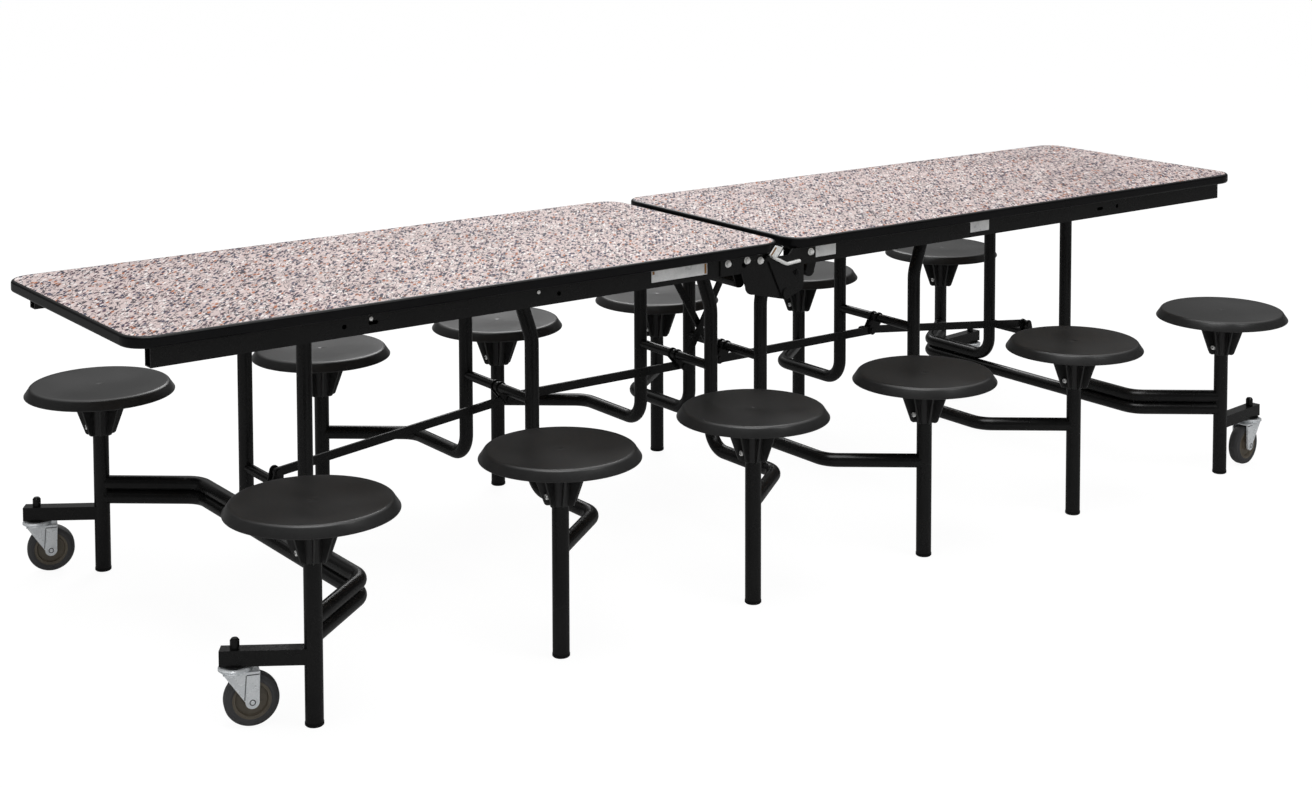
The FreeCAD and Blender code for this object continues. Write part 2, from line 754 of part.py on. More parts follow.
def wheel(mirror_side, side):
    """Return one wheel: its moulded core and the tyre round it."""
    half = wheel_width / 2
    core_half = wheel_core_width / 2
    soft = wheel_tread_round
    bore = axle_radius + pivot_clearance
    shoulder = wheel_core_radius + tyre_shoulder
    tyre = revolved([(wheel_core_radius, -core_half), (shoulder, -half),
                     (wheel_radius - soft, -half), (wheel_radius - 0.3 * soft, -half + 0.3 * soft),
                     (wheel_radius, -half + soft), (wheel_radius, half - soft),
                     (wheel_radius - 0.3 * soft, half - 0.3 * soft), (wheel_radius - soft, half),
                     (shoulder, half), (wheel_core_radius, core_half)], ORIGIN)
    web = core_half - wheel_web_recess
    rim = wheel_core_radius - wheel_rim_depth
    hub_foot = wheel_hub_radius + wheel_core_draft
    rim_top = rim + wheel_core_draft
    core = revolved([(bore, -core_half), (wheel_hub_radius, -core_half), (hub_foot, -web),
                     (rim, -web), (rim_top, -core_half), (wheel_core_radius, -core_half),
                     (wheel_core_radius, core_half), (rim_top, core_half), (rim, web),
                     (hub_foot, web), (wheel_hub_radius, core_half), (bore, core_half)], ORIGIN)
    placed = group([core, tyre])
    placed.rotate(ORIGIN, ALONG, 90)
    placed.translate(V(fork_trail, 0, axle_height))
    placed.rotate(ORIGIN, UP, right_fork_angle if mirror_side > 0 else left_fork_angle)
    placed.translate(caster_centre(mirror_side, side))
    return placed


def hub_fin():
    """Return one fin of a seat's hub, in the X-Z plane, with its outer foot rounded."""
    under = seat_height - seat_wall
    root = post_radius + seat_clearance + hub_rib_overlap
    fin = outline([(root, under + hub_rib_overlap), (hub_top_radius, under + hub_rib_overlap),
                   (hub_top_radius, under - hub_top_band), (hub_bottom_radius, hub_bottom),
                   (root, hub_bottom)], -hub_rib_thickness / 2, hub_rib_thickness)
    corner = []
    for edge in fin.Edges:
        middle = edge.CenterOfMass
        if math.hypot(middle.x - hub_bottom_radius, middle.z - hub_bottom) < 1:
            corner.append(edge)
    return fin.makeFillet(hub_corner_round, corner)


def seat_body():
    """Return one moulded seat with its dished top, skirt, hub core and fins."""
    top = seat_height
    under = seat_height - seat_wall
    rim = top - seat_rim_depth
    bore = post_radius + seat_clearance
    dish = [(0, top - seat_dish_depth), (seat_dish_radius * 0.55, top - seat_dish_depth * 0.8),
            (seat_dish_radius, top - seat_dish_depth * 0.3),
            (seat_top_radius - seat_edge_round * 2, top),
            (seat_top_radius - seat_edge_round * 0.6, top - seat_edge_round * 0.25),
            (seat_top_radius, top - seat_edge_round)]
    skirt = [(seat_radius, rim), (seat_radius - seat_wall, rim),
             (seat_top_radius - seat_wall, under - seat_edge_round),
             (seat_top_radius - 3 * seat_wall, under)]
    hub = [(hub_core_top_radius, under), (hub_core_bottom_radius, hub_bottom), (bore, hub_bottom),
           (bore, under), (0, under)]
    fins = []
    for index in range(hub_rib_count):
        fin = hub_fin()
        fin.rotate(ORIGIN, UP, 360 / hub_rib_count * (index + 0.5))
        fins.append(fin)
    return fuse([revolved(dish + skirt + hub, ORIGIN)] + fins)


def seat(x, y):
    """Return one seat on its place, and the screw that holds it on its post."""
    back = V(-1, 0, 0)
    bore = post_radius + seat_clearance
    head_reach = hub_bottom_radius + 1
    tip = V(groove_depth - bore, 0, seat_screw_height)
    head = V(-head_reach, 0, seat_screw_height)
    screw = fuse([rod(tip, head, seat_screw_radius),
                  rod(head, head + back * seat_screw_head_height, seat_screw_head_radius)])
    boss = rod(V(0, 0, seat_screw_height), head, seat_screw_head_radius)
    boss = boss.cut(Part.makeCylinder(bore, hub_height, V(0, 0, hub_bottom)))
    body = seat_body().fuse(boss).removeSplitter().cut(screw)
    placed = group([body, screw])
    placed.translate(V(x, y, 0))
    return placed


def bar_link(start, end, y0, half_height, overrun):
    """Return a flat bar between two points of the X-Z plane, with round ends."""
    length = math.hypot(end[0] - start[0], end[1] - start[1])
    far = length + overrun
    bar = fuse([box(0, far, y0, y0 + link_thickness, -half_height, half_height),
                cross_rod(0, 0, y0, y0 + link_thickness, half_height),
                cross_rod(far, 0, y0, y0 + link_thickness, half_height)])
    return bar, length


def lay_link(bar, start, end):
    """Turn a bar drawn along X onto its line, and move it to its start."""
    tilt = math.degrees(math.atan2(end[1] - start[1], end[0] - start[0]))
    bar.rotate(ORIGIN, ACROSS, -tilt)
    bar.translate(V(start[0], 0, start[1]))
    return bar


def inner_link():
    """Return the level link between the middle and inner frames of the +X half."""
    start = (middle_pin_x, link_pin_height)
    end = (inner_pin_x, link_pin_height)
    y0 = -link_inner_y - link_thickness
    bar, length = bar_link(start, end, y0, inner_link_half_height, inner_link_overrun)
    for x, clearance in ((0, pivot_clearance), (length, open_pivot_clearance)):
        bar = bar.cut(cross_rod(x, 0, y0 - 1, y0 + link_thickness + 1, link_pin_radius + clearance))
    return lay_link(bar, start, end)


def outer_link_stroke():
    """Return how much further apart the outer link's pins stand at half fold."""
    span = leg_x_end - pivot_x_middle
    shift = outer_link_pin_shift
    flat = math.hypot(span + shift, shift)
    half_way = math.hypot(span * math.cos(math.pi / 4) + shift, span * math.sin(math.pi / 4) + shift)
    return half_way - flat


def outer_link():
    """Return the slotted link between the end and middle frames of the +X half."""
    start = (end_pin_x, end_pin_height)
    end = (middle_pin_x, link_pin_height)
    y0 = link_inner_y
    stroke = outer_link_stroke()
    slot_radius = link_pin_radius + slot_side_clearance
    overrun = stroke + slot_end_clearance
    bar, length = bar_link(start, end, y0, outer_link_half_height, overrun)
    bar = bar.cut(cross_rod(0, 0, y0 - 1, y0 + link_thickness + 1, link_pin_radius + pivot_clearance))
    for x in (length, length + overrun):
        bar = bar.cut(cross_rod(x, 0, y0 - 1, y0 + link_thickness + 1, slot_radius))
    bar = bar.cut(box(length, length + overrun, y0 - 1, y0 + link_thickness + 1,
                      -slot_radius, slot_radius))
    return lay_link(bar, start, end)


def strut():
    """Return the strut from the +X inner frame up to the -X half's hanger, with its bolt."""
    start = (inner_pin_x, link_pin_height)
    end = (-hanger_pin_x, strut_pin_height())
    y0 = link_inner_y
    bar, length = bar_link(start, end, y0, strut_half_height, 0)
    bar = bar.cut(cross_rod(0, 0, y0 - 1, y0 + link_thickness + 1, link_pin_radius + pivot_clearance))
    bar = bar.cut(cross_rod(length, 0, y0 - 1, y0 + link_thickness + 1, link_pin_radius))
    outside = y0 + link_thickness
    bolt = fuse([cross_rod(length, 0, strut_gap, outside, link_pin_radius),
                 cross_rod(length, 0, strut_gap, y0, strut_half_height),
                 cross_rod(length, 0, outside, outside + strut_bolt_head_height, pin_head_radius)])
    laid = group([bar, bolt])
    return lay_link(laid, start, end)


def latch_handle():
    """Return the plated latch tab and grip, which pivot outside the hinge plates."""
    y1 = -outer_plate_face - latch_layer_gap
    y0 = y1 - latch_plate_thickness
    pivot_z = table_height - latch_drop
    half = latch_root_half
    points = [(0, -half), (latch_tab_left, -0.3 * half), (latch_tab_right, latch_tab_corner_rise),
              (latch_tab_left, latch_tab_rise), (0.9 * latch_tab_left, 1.4 * half), (0, half)]
    plate = outline([(latch_x + x, pivot_z + z) for x, z in points], y0, latch_plate_thickness)
    plate = plate.fuse(cross_rod(latch_x, pivot_z, y0, y1, half)).removeSplitter()
    plate = plate.cut(cross_rod(latch_x, pivot_z, y0 - 1, y1 + 1, latch_pivot_radius + pivot_clearance))
    middle = y1 - latch_rod_radius
    grip = bent_tube([V(latch_x + latch_grip_start, middle, pivot_z + latch_grip_start_rise),
                      V(latch_x + latch_grip_bend, middle, pivot_z - latch_grip_bend_drop),
                      V(latch_x + latch_grip_end, middle, pivot_z - latch_grip_end_drop)],
                     [latch_bend_radius], latch_rod_radius, latch_rod_radius)
    return fuse([plate, grip])


def latch_pivot():
    """Return the stud that carries the latch handle."""
    outside = -outer_plate_face - latch_layer_gap - latch_plate_thickness - seat_clearance
    z = table_height - latch_drop
    return fuse([cross_rod(latch_x, z, outside, -rail_face_y - hinge_plate_thickness, latch_pivot_radius),
                 cross_rod(latch_x, z, outside - latch_head_height, outside,
                           latch_pivot_radius + latch_head_rim)])


def build():
    """Return every node of the table by name."""
    nodes = {}
    halves = (("left", -1, on_left), ("right", 1, lambda shape: shape))
    for half, mirror_side, place in halves:
        nodes[half + "_top_board"] = place(top_board())
        nodes[half + "_edge_band"] = place(edge_band())
        nodes[half + "_top_rails"] = place(top_rails())
        rods = place(group(pivot_rods()))
        if mirror_side < 0:
            rods = group([rods] + hinge_pins() + [latch_pivot()])
        nodes[half + "_pivot_rods"] = rods
        for name, leg_x, pivot_x, pin_x in (
                ("middle", leg_x_middle, pivot_x_middle, middle_pin_x),
                ("inner", leg_x_inner, pivot_x_inner, inner_pin_x)):
            frame = half + "_" + name + "_frame"
            nodes[frame + "_legs"] = place(frame_legs(leg_x, pivot_x, arm_height))
            bars = [crossbar(leg_x, crossbar_height)]
            bars += link_bracket(leg_x, crossbar_height, pin_x, link_pin_height)
            if name == "inner":
                bars += spreaders(leg_x, pivot_x)
            nodes[frame + "_crossbar"] = place(group(bars))
            nodes[frame + "_posts"] = place(frame_posts(leg_x))
        frame = half + "_end_frame"
        nodes[frame + "_legs"] = place(frame_legs(leg_x_end, leg_x_end, end_arm_height))
        bars = [crossbar(leg_x_end, end_crossbar_height)]
        bars += link_bracket(leg_x_end, end_crossbar_height, end_pin_x, end_pin_height)
        nodes[frame + "_crossbar"] = place(group(bars))
        nodes[frame + "_lower_tube"] = place(end_lower_tube())
        nodes[frame + "_posts"] = place(frame_posts(leg_x_end))
        nodes[half + "_caster_arms"] = caster_arms(mirror_side)
        nodes[half + "_inner_link"] = place(inner_link())
        nodes[half + "_outer_link"] = place(outer_link())
        nodes[half + "_strut"] = place(strut())
        for row, side in (("a", -1), ("b", 1)):
            nodes["caster_fork_" + half + "_" + row] = fork(mirror_side, side)
            nodes["caster_wheel_" + half + "_" + row] = wheel(mirror_side, side)
    nodes["left_hinge_plates"] = left_hinge_plates()
    nodes["right_hinge_plates"] = right_hinge_plates()
    nodes["latch_handle"] = latch_handle()
    places = [leg_x + post_from_leg for leg_x in (leg_x_end, leg_x_middle, leg_x_inner)]
    places = [-x for x in places] + places[::-1]
    for row, side in (("a", -1), ("b", 1)):
        for number, x in enumerate(places, start=1):
            nodes["seat_" + row + str(number)] = seat(x, side * post_half_spacing)
    return nodes


def main():
    """Write one STEP file per node."""
    os.makedirs("parts", exist_ok=True)
    for name, shape in build().items():
        if not shape.isValid():
            raise ValueError(name + " is not a valid shape")
        shape.exportStep("parts/" + name + ".step")


main()
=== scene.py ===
"""Looks of a folding cafeteria table with twelve attached stools and four casters.

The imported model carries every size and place.  This script dresses its tubes, boards and
plates, sets finer seats over the plain ones, and adds the fasteners, foil plates and the
latch's catch.  Sizes are in metres, and names that end in _mm are in millimetres.
"""

import json
import logging
import math
from dataclasses import dataclass, field
from enum import Enum
from typing import Callable, Optional, Sequence

import bpy
import bmesh
from mathutils import Matrix, Vector

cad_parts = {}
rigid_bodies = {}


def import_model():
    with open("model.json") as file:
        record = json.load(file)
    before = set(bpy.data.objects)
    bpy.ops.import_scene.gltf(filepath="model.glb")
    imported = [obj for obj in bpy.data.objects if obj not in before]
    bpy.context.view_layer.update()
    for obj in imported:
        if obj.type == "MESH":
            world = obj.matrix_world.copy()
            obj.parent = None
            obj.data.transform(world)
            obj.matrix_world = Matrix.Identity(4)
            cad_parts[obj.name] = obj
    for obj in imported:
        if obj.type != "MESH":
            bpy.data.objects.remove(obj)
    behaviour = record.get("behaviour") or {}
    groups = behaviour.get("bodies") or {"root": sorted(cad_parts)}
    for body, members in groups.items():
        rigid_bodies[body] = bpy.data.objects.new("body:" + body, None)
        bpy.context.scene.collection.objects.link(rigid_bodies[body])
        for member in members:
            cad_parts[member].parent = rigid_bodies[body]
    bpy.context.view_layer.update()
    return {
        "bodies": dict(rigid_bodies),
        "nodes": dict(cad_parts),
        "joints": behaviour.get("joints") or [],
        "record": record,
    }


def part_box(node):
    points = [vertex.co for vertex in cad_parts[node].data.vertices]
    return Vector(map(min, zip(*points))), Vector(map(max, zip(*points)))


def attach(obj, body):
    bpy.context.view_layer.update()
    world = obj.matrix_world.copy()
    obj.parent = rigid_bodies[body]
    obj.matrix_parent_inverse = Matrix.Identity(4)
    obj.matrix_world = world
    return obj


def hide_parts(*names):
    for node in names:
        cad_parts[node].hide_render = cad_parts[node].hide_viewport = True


LOG = logging.getLogger("table")
MM = 0.001
# Noise textures keep nearly all their values between these two.
NOISE_LOW = 0.3
NOISE_HIGH = 0.7
# A profile point nearer than this to the axis lies on it.
ON_AXIS = 1e-7
HEXAGON = 6


class Side(Enum):
    """One half of the table, by the sign of its x."""

    LEFT = -1
    RIGHT = 1

    @property
    def word(self) -> str:
        """Return the half's name as the nodes spell it."""
        return self.name.lower()


# ---------------------------------------------------------------- finishes


def linear(hex_colour: str) -> tuple[float, float, float, float]:
    """Turn an sRGB hex colour into linear values.

    Args:
        hex_colour: six hex digits, such as "1A1A1C".

    Returns:
        The linear red, green and blue, with full opacity.
    """
    channels = [int(hex_colour[i:i + 2], 16) / 255 for i in (0, 2, 4)]
    values = [c / 12.92 if c <= 0.04045 else ((c + 0.055) / 1.055) ** 2.4 for c in channels]
    return values[0], values[1], values[2], 1.0


def add_node(
    tree: bpy.types.NodeTree,
    kind: str,
    settings: Optional[dict] = None,
    links: Optional[dict] = None,
) -> bpy.types.Node:
    """Add a shader node with its settings and incoming links.

    Args:
        tree: the material's node tree.
        kind: the node's type name.
        settings: attribute names or input sockets, with their values.
        links: input sockets, with the output sockets that feed them.

    Returns:
        The new node.
    """
    node = tree.nodes.new(kind)
    for name, value in (settings or {}).items():
        if isinstance(name, int) or name in node.inputs:
            node.inputs[name].default_value = value
        else:
            setattr(node, name, value)
    for name, source in (links or {}).items():
        tree.links.new(source, node.inputs[name])
    return node


def set_ramp(node: bpy.types.Node, stops: Sequence[tuple[float, str]]) -> None:
    """Give a colour ramp its stops.

    Args:
        node: the ramp node.
        stops: places from 0 to 1, with hex colours.
    """
    ramp = node.color_ramp
    while len(ramp.elements) > 1:
        ramp.elements.remove(ramp.elements[-1])
    ramp.elements[0].position = stops[0][0]
    ramp.elements[0].color = linear(stops[0][1])
    for place, colour in stops[1:]:
        ramp.elements.new(place).color = linear(colour)


@dataclass(frozen=True)
class Finish:
    """A surface finish that builds its own material."""

    name: str

    def blank(self) -> tuple[bpy.types.Material, bpy.types.NodeTree, bpy.types.Node]:
        """Start a material.

        Returns:
            The new material, its node tree and its main shader.
        """
        material = bpy.data.materials.new(self.name)
        material.use_nodes = True
        tree = material.node_tree
        return material, tree, tree.nodes["Principled BSDF"]

    def place(self, tree: bpy.types.NodeTree) -> bpy.types.NodeSocket:
        """Add the piece's own coordinates in metres.

        Args:
            tree: the material's node tree.

        Returns:
            The socket that carries them.
        """
        return add_node(tree, "ShaderNodeTexCoord").outputs["Object"]

    def build(self) -> bpy.types.Material:
        """Make the material.

        Returns:
            The finished material.
        """
        raise NotImplementedError


@dataclass(frozen=True)
class FineGrain(Finish):
    """A coloured surface with a fine grain in its height, colour and gloss.

    Powder coat, moulded plastics, rubber and plated sheet all have such a grain.  It is drawn
    a little coarser than the real one, so that it shows at the distance of the whole table.
    The colour shades into the fleck where the grain and its slow cloud are both high.
    """

    colour: str = "1A1A1C"
    fleck: str = "232326"
    roughness: float = 0.4
    roughness_spread: float = 0.08
    metallic: float = 0.0
    ior: float = 1.5
    shine: float = 0.5
    grain_mm: float = 1.5
    grain_height_mm: float = 0.05
    grain_strength: float = 0.35
    cloud_mm: float = 90.0
    colour_place: float = 0.12
    fleck_place: float = 0.42

    def build(self) -> bpy.types.Material:
        """Make the grained material.

        Returns:
            The finished material.
        """
        material, tree, shader = self.blank()
        place = self.place(tree)
        grain = add_node(tree, "ShaderNodeTexNoise",
                         {"Scale": 1 / (self.grain_mm * MM), "Detail": 3.0, "Roughness": 0.6},
                         {"Vector": place})
        cloud = add_node(tree, "ShaderNodeTexNoise",
                         {"Scale": 1 / (self.cloud_mm * MM), "Detail": 4.0}, {"Vector": place})
        both = add_node(tree, "ShaderNodeMath", {"operation": "MULTIPLY"},
                        {0: grain.outputs["Fac"], 1: cloud.outputs["Fac"]})
        colour = add_node(tree, "ShaderNodeValToRGB", None, {"Fac": both.outputs[0]})
        set_ramp(colour, ((self.colour_place, self.colour), (self.fleck_place, self.fleck)))
        tree.links.new(colour.outputs["Color"], shader.inputs["Base Color"])
        rough = add_node(tree, "ShaderNodeMapRange",
                         {"From Min": NOISE_LOW, "From Max": NOISE_HIGH,
                          "To Min": self.roughness - self.roughness_spread,
                          "To Max": self.roughness + self.roughness_spread},
                         {"Value": cloud.outputs["Fac"]})
        tree.links.new(rough.outputs["Result"], shader.inputs["Roughness"])
        bump = add_node(tree, "ShaderNodeBump",
                        {"Strength": self.grain_strength,
                         "Distance": self.grain_height_mm * MM},
                        {"Height": grain.outputs["Fac"]})
        tree.links.new(bump.outputs["Normal"], shader.inputs["Normal"])
        shader.inputs["Metallic"].default_value = self.metallic
        shader.inputs["IOR"].default_value = self.ior
        shader.inputs["Specular IOR Level"].default_value = self.shine
        return material


@dataclass(frozen=True)
class SpeckledLaminate(Finish):
    """High-pressure laminate printed with a crowd of small specks, on a pressed-wood board.

    The print is a pale pink ground under dark curls, with slate, plum, rust, pink and white
    specks, each ink with its share of them.  The specks are longer along one slanting run
    than across it, and the whole print is drawn coarser than the real one, so that it shows
    at the distance of the whole table.  The sheet is thin, so below it the same node shows
    the board's wood chips.
    """

    top: float
    ground: str = "DDCBC8"
    inks: tuple[tuple[float, str], ...] = ((0.0, "4A4C63"), (0.28, "634A57"), (0.44, "BE7752"),
                                           (0.56, "DDCBC8"), (0.68, "F6EFED"))
    curl: str = "38353F"
    chip_dark: str = "4A3B2C"
    chip_pale: str = "6E5A45"
    speck_mm: float = 7.6
    speck_full: float = 0.34
    speck_gone: float = 0.52
    curl_mm: float = 10.5
    curl_full: float = 0.02
    curl_gone: float = 0.045
    curl_cover: float = 0.92
    lean: float = 0.633
    run: float = 0.36
    drift_mm: float = 250.0
    drift_dark: float = 0.93
    drift_pale: float = 1.05
    chip_mm: float = 4.0
    sheet_mm: float = 1.2
    roughness_low: float = 0.40
    roughness_high: float = 0.52
    texture_mm: float = 0.03
    texture_strength: float = 0.15
    ior: float = 1.5
    shine: float = 0.06

    def build(self) -> bpy.types.Material:
        """Make the printed laminate with its wood core below it.

        Returns:
            The finished material.
        """
        material, tree, shader = self.blank()
        place = self.place(tree)
        turned = add_node(tree, "ShaderNodeVectorRotate",
                          {"rotation_type": "Z_AXIS", "Angle": self.lean}, {"Vector": place})
        print_place = add_node(tree, "ShaderNodeVectorMath",
                               {"operation": "MULTIPLY", 1: (1.0, self.run, 1.0)},
                               {0: turned.outputs[0]}).outputs[0]
        specks = add_node(tree, "ShaderNodeTexVoronoi",
                          {"Scale": 1 / (self.speck_mm * MM), "Randomness": 1.0},
                          {"Vector": print_place})
        pick = add_node(tree, "ShaderNodeSeparateColor", None, {"Color": specks.outputs["Color"]})
        tint = add_node(tree, "ShaderNodeValToRGB", None, {"Fac": pick.outputs["Red"]})
        tint.color_ramp.interpolation = "CONSTANT"
        set_ramp(tint, self.inks)
        edge = add_node(tree, "ShaderNodeMapRange",
                        {"From Min": self.speck_full, "From Max": self.speck_gone,
                         "To Min": 1.0, "To Max": 0.0},
                        {"Value": specks.outputs["Distance"]})
        specked = add_node(tree, "ShaderNodeMix", {"data_type": "RGBA", 6: linear(self.ground)},
                           {0: edge.outputs["Result"], 7: tint.outputs["Color"]})
        curls = add_node(tree, "ShaderNodeTexNoise",
                         {"Scale": 1 / (self.curl_mm * MM), "Detail": 1.0, "Distortion": 0.8},
                         {"Vector": print_place})
        curl_line = add_node(tree, "ShaderNodeMath", {"operation": "SUBTRACT", 1: 0.5},
                             {0: curls.outputs["Fac"]})
        curl_width = add_node(tree, "ShaderNodeMath", {"operation": "ABSOLUTE"},
                              {0: curl_line.outputs[0]})
        curl_mask = add_node(tree, "ShaderNodeMapRange",
                             {"From Min": self.curl_full, "From Max": self.curl_gone,
                              "To Min": self.curl_cover, "To Max": 0.0},
                             {"Value": curl_width.outputs[0]})
        printed = add_node(tree, "ShaderNodeMix", {"data_type": "RGBA", 7: linear(self.curl)},
                           {0: curl_mask.outputs["Result"], 6: specked.outputs[2]})
        drift = add_node(tree, "ShaderNodeTexNoise",
                         {"Scale": 1 / (self.drift_mm * MM), "Detail": 3.0}, {"Vector": place})
        shade = add_node(tree, "ShaderNodeMapRange",
                         {"From Min": NOISE_LOW, "From Max": NOISE_HIGH,
                          "To Min": self.drift_dark, "To Max": self.drift_pale},
                         {"Value": drift.outputs["Fac"]})
        drifted = add_node(tree, "ShaderNodeVectorMath", {"operation": "SCALE"},
                           {0: printed.outputs[2], "Scale": shade.outputs["Result"]})
        height = add_node(tree, "ShaderNodeSeparateXYZ", None, {"Vector": place})
        on_top = add_node(tree, "ShaderNodeMath",
                          {"operation": "GREATER_THAN", 1: self.top - self.sheet_mm * MM},
                          {0: height.outputs["Z"]})
        chips = add_node(tree, "ShaderNodeTexNoise",
                         {"Scale": 1 / (self.chip_mm * MM), "Detail": 4.0}, {"Vector": place})
        wood = add_node(tree, "ShaderNodeValToRGB", None, {"Fac": chips.outputs["Fac"]})
        set_ramp(wood, ((NOISE_LOW, self.chip_dark), (NOISE_HIGH, self.chip_pale)))
        colour = add_node(tree, "ShaderNodeMix", {"data_type": "RGBA"},
                          {0: on_top.outputs[0], 6: wood.outputs["Color"], 7: drifted.outputs[0]})
        tree.links.new(colour.outputs[2], shader.inputs["Base Color"])
        rough = add_node(tree, "ShaderNodeMapRange",
                         {"From Min": NOISE_LOW, "From Max": NOISE_HIGH,
                          "To Min": self.roughness_low, "To Max": self.roughness_high},
                         {"Value": drift.outputs["Fac"]})
        tree.links.new(rough.outputs["Result"], shader.inputs["Roughness"])
        bump = add_node(tree, "ShaderNodeBump",
                        {"Strength": self.texture_strength, "Distance": self.texture_mm * MM},
                        {"Height": chips.outputs["Fac"]})
        tree.links.new(bump.outputs["Normal"], shader.inputs["Normal"])
        shader.inputs["IOR"].default_value = self.ior
        shader.inputs["Specular IOR Level"].default_value = self.shine
        return material


@dataclass(frozen=True)
class StudioPaper(Finish):
    """Seamless white paper.

    The camera sees it plain white with the table's soft shadow: most of what it sees glows,
    and the rest takes light.  Glossy pieces mirror it dimmed, so that black steel and plastic
    stay black over the white floor.
    """

    white: str = "FAFAFA"
    roughness: float = 0.95
    seen_share: float = 0.86
    seen_glow: float = 1.09
    mirrored_glow: float = 0.14

    def build(self) -> bpy.types.Material:
        """Make the paper.

        Returns:
            The finished material.
        """
        material, tree, shader = self.blank()
        shader.inputs["Base Color"].default_value = linear(self.white)
        shader.inputs["Roughness"].default_value = self.roughness
        shader.inputs["Specular IOR Level"].default_value = 0.0
        path = add_node(tree, "ShaderNodeLightPath")
        strength = add_node(tree, "ShaderNodeMapRange",
                            {"To Min": self.seen_glow, "To Max": self.mirrored_glow},
                            {"Value": path.outputs["Is Glossy Ray"]})
        seen = add_node(tree, "ShaderNodeMath", {"operation": "MAXIMUM"},
                        {0: path.outputs["Is Camera Ray"], 1: path.outputs["Is Glossy Ray"]})
        part = add_node(tree, "ShaderNodeMath", {"operation": "MULTIPLY", 1: self.seen_share},
                        {0: seen.outputs[0]})
        glow = add_node(tree, "ShaderNodeEmission", {"Color": linear("FFFFFF")},
                        {"Strength": strength.outputs["Result"]})
        mixed = add_node(tree, "ShaderNodeMixShader", None,
                         {0: part.outputs[0], 1: shader.outputs[0], 2: glow.outputs[0]})
        tree.links.new(mixed.outputs[0], tree.nodes["Material Output"].inputs["Surface"])
        return material


class Finishes:
    """Every finish on the table, each built once.

    The plated pieces and the foil have a low metallic value: as full mirrors, their upright
    faces would show only the dimmed floor and turn dark.
    """

    def __init__(self) -> None:
        """Build the materials."""
        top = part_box("left_top_board")[1].z
        self.laminate = SpeckledLaminate("speckled_laminate", top=top).build()
        # Moulded vinyl edge: deep black with a soft gloss line along its bull nose.
        self.vinyl = FineGrain("moulded_vinyl", colour="060607", fleck="0E0E10", roughness=0.30,
                               roughness_spread=0.05, shine=0.3, grain_mm=1.2,
                               grain_height_mm=0.02).build()
        # Powder-coated steel: gloss black with faint orange peel.
        self.powder = FineGrain("powder_coated_steel", colour="121212", fleck="1B1B1B",
                                roughness=0.26, roughness_spread=0.05, shine=0.34, grain_mm=3.0,
                                grain_height_mm=0.006).build()
        # Injection-moulded ABS seat: charcoal, with the fine pebble that a textured mould leaves.
        self.abs = FineGrain("moulded_abs", colour="242424", fleck="2F2F2F", roughness=0.31,
                             roughness_spread=0.03, shine=0.5, grain_mm=1.6,
                             grain_height_mm=0.010).build()
        # Zinc-plated pressed steel: pale, smooth, with the faint clouds of the plating bath.
        self.zinc = FineGrain("zinc_plate", colour="DFE3E6", fleck="F2F5F7", roughness=0.28,
                              roughness_spread=0.04, metallic=0.25, grain_mm=3.0,
                              grain_height_mm=0.008, cloud_mm=24.0).build()
        # Grey thermoplastic rubber tread: matt, with a dusty bloom.
        self.rubber = FineGrain("moulded_rubber", colour="3A3A3B", fleck="49494A", roughness=0.58,
                                roughness_spread=0.08, grain_mm=1.4, grain_height_mm=0.06).build()
        # Moulded polypropylene wheel core: taupe.
        self.core = FineGrain("moulded_polypropylene", colour="5A5348", fleck="6B6355",
                              roughness=0.5, grain_mm=1.6, grain_height_mm=0.04).build()
        # Nickel-plated steel: bright fasteners and the latch.
        self.nickel = FineGrain("nickel_plate", colour="F0F0EE", fleck="FCFCFA", roughness=0.26,
                                roughness_spread=0.05, metallic=0.15, grain_mm=2.0,
                                grain_height_mm=0.01, cloud_mm=10.0).build()
        # Brushed aluminium foil plates, left blank: a pale satin with soft clouds.
        self.foil = FineGrain("brushed_foil", colour="D2D3D3", fleck="F2F2F1", roughness=0.34,
                              metallic=0.1, grain_mm=1.0, grain_height_mm=0.02,
                              cloud_mm=22.0).build()
        # Rust-brown corrosion at one foil plate's ends and on the latch's catch.
        self.rust = FineGrain("corroded_foil", colour="8A5A2C", fleck="B98A4E", roughness=0.5,
                              metallic=0.4, grain_mm=1.2, grain_height_mm=0.03,
                              cloud_mm=8.0).build()
        # Painted shade: a dull dark grey on thin sheets in the creases of the forks and round
        # their rivet heads.
        self.fork_crease_shade = FineGrain("dusty_zinc", colour="3A3C3E", fleck="5C5F62", roughness=0.6,
                              grain_mm=1.0, grain_height_mm=0.02, cloud_mm=8.0).build()
        # Moulded nylon glides under the posts: matt black.
        self.nylon = FineGrain("moulded_nylon", colour="0A0A0B", fleck="131313", roughness=0.5,
                               shine=0.3, grain_mm=1.2, grain_height_mm=0.04).build()
        # Painted shade: near-black that stands for the dark inside of a hole, the screws' cross
        # recesses.
        self.shadow = FineGrain("unlit_steel", colour="020202", fleck="040404", roughness=0.8,
                                shine=0.1, grain_mm=1.0, grain_height_mm=0.01).build()


# ---------------------------------------------------------------- mesh helpers


def finish_mesh(form: bmesh.types.BMesh, name: str, sharp_degrees: float) -> bpy.types.Mesh:
    """Turn a bmesh into a smooth-shaded mesh with its hard edges kept.

    Args:
        form: the bmesh, which is freed.
        name: the mesh's name.
        sharp_degrees: edges with a larger turn stay sharp.

    Returns:
        The mesh.
    """
    bmesh.ops.recalc_face_normals(form, faces=form.faces)
    limit = math.radians(sharp_degrees)
    for edge in form.edges:
        edge.smooth = len(edge.link_faces) == 2 and edge.calc_face_angle(0.0) < limit
    for face in form.faces:
        face.smooth = True
    mesh = bpy.data.meshes.new(name)
    form.to_mesh(mesh)
    form.free()
    return mesh


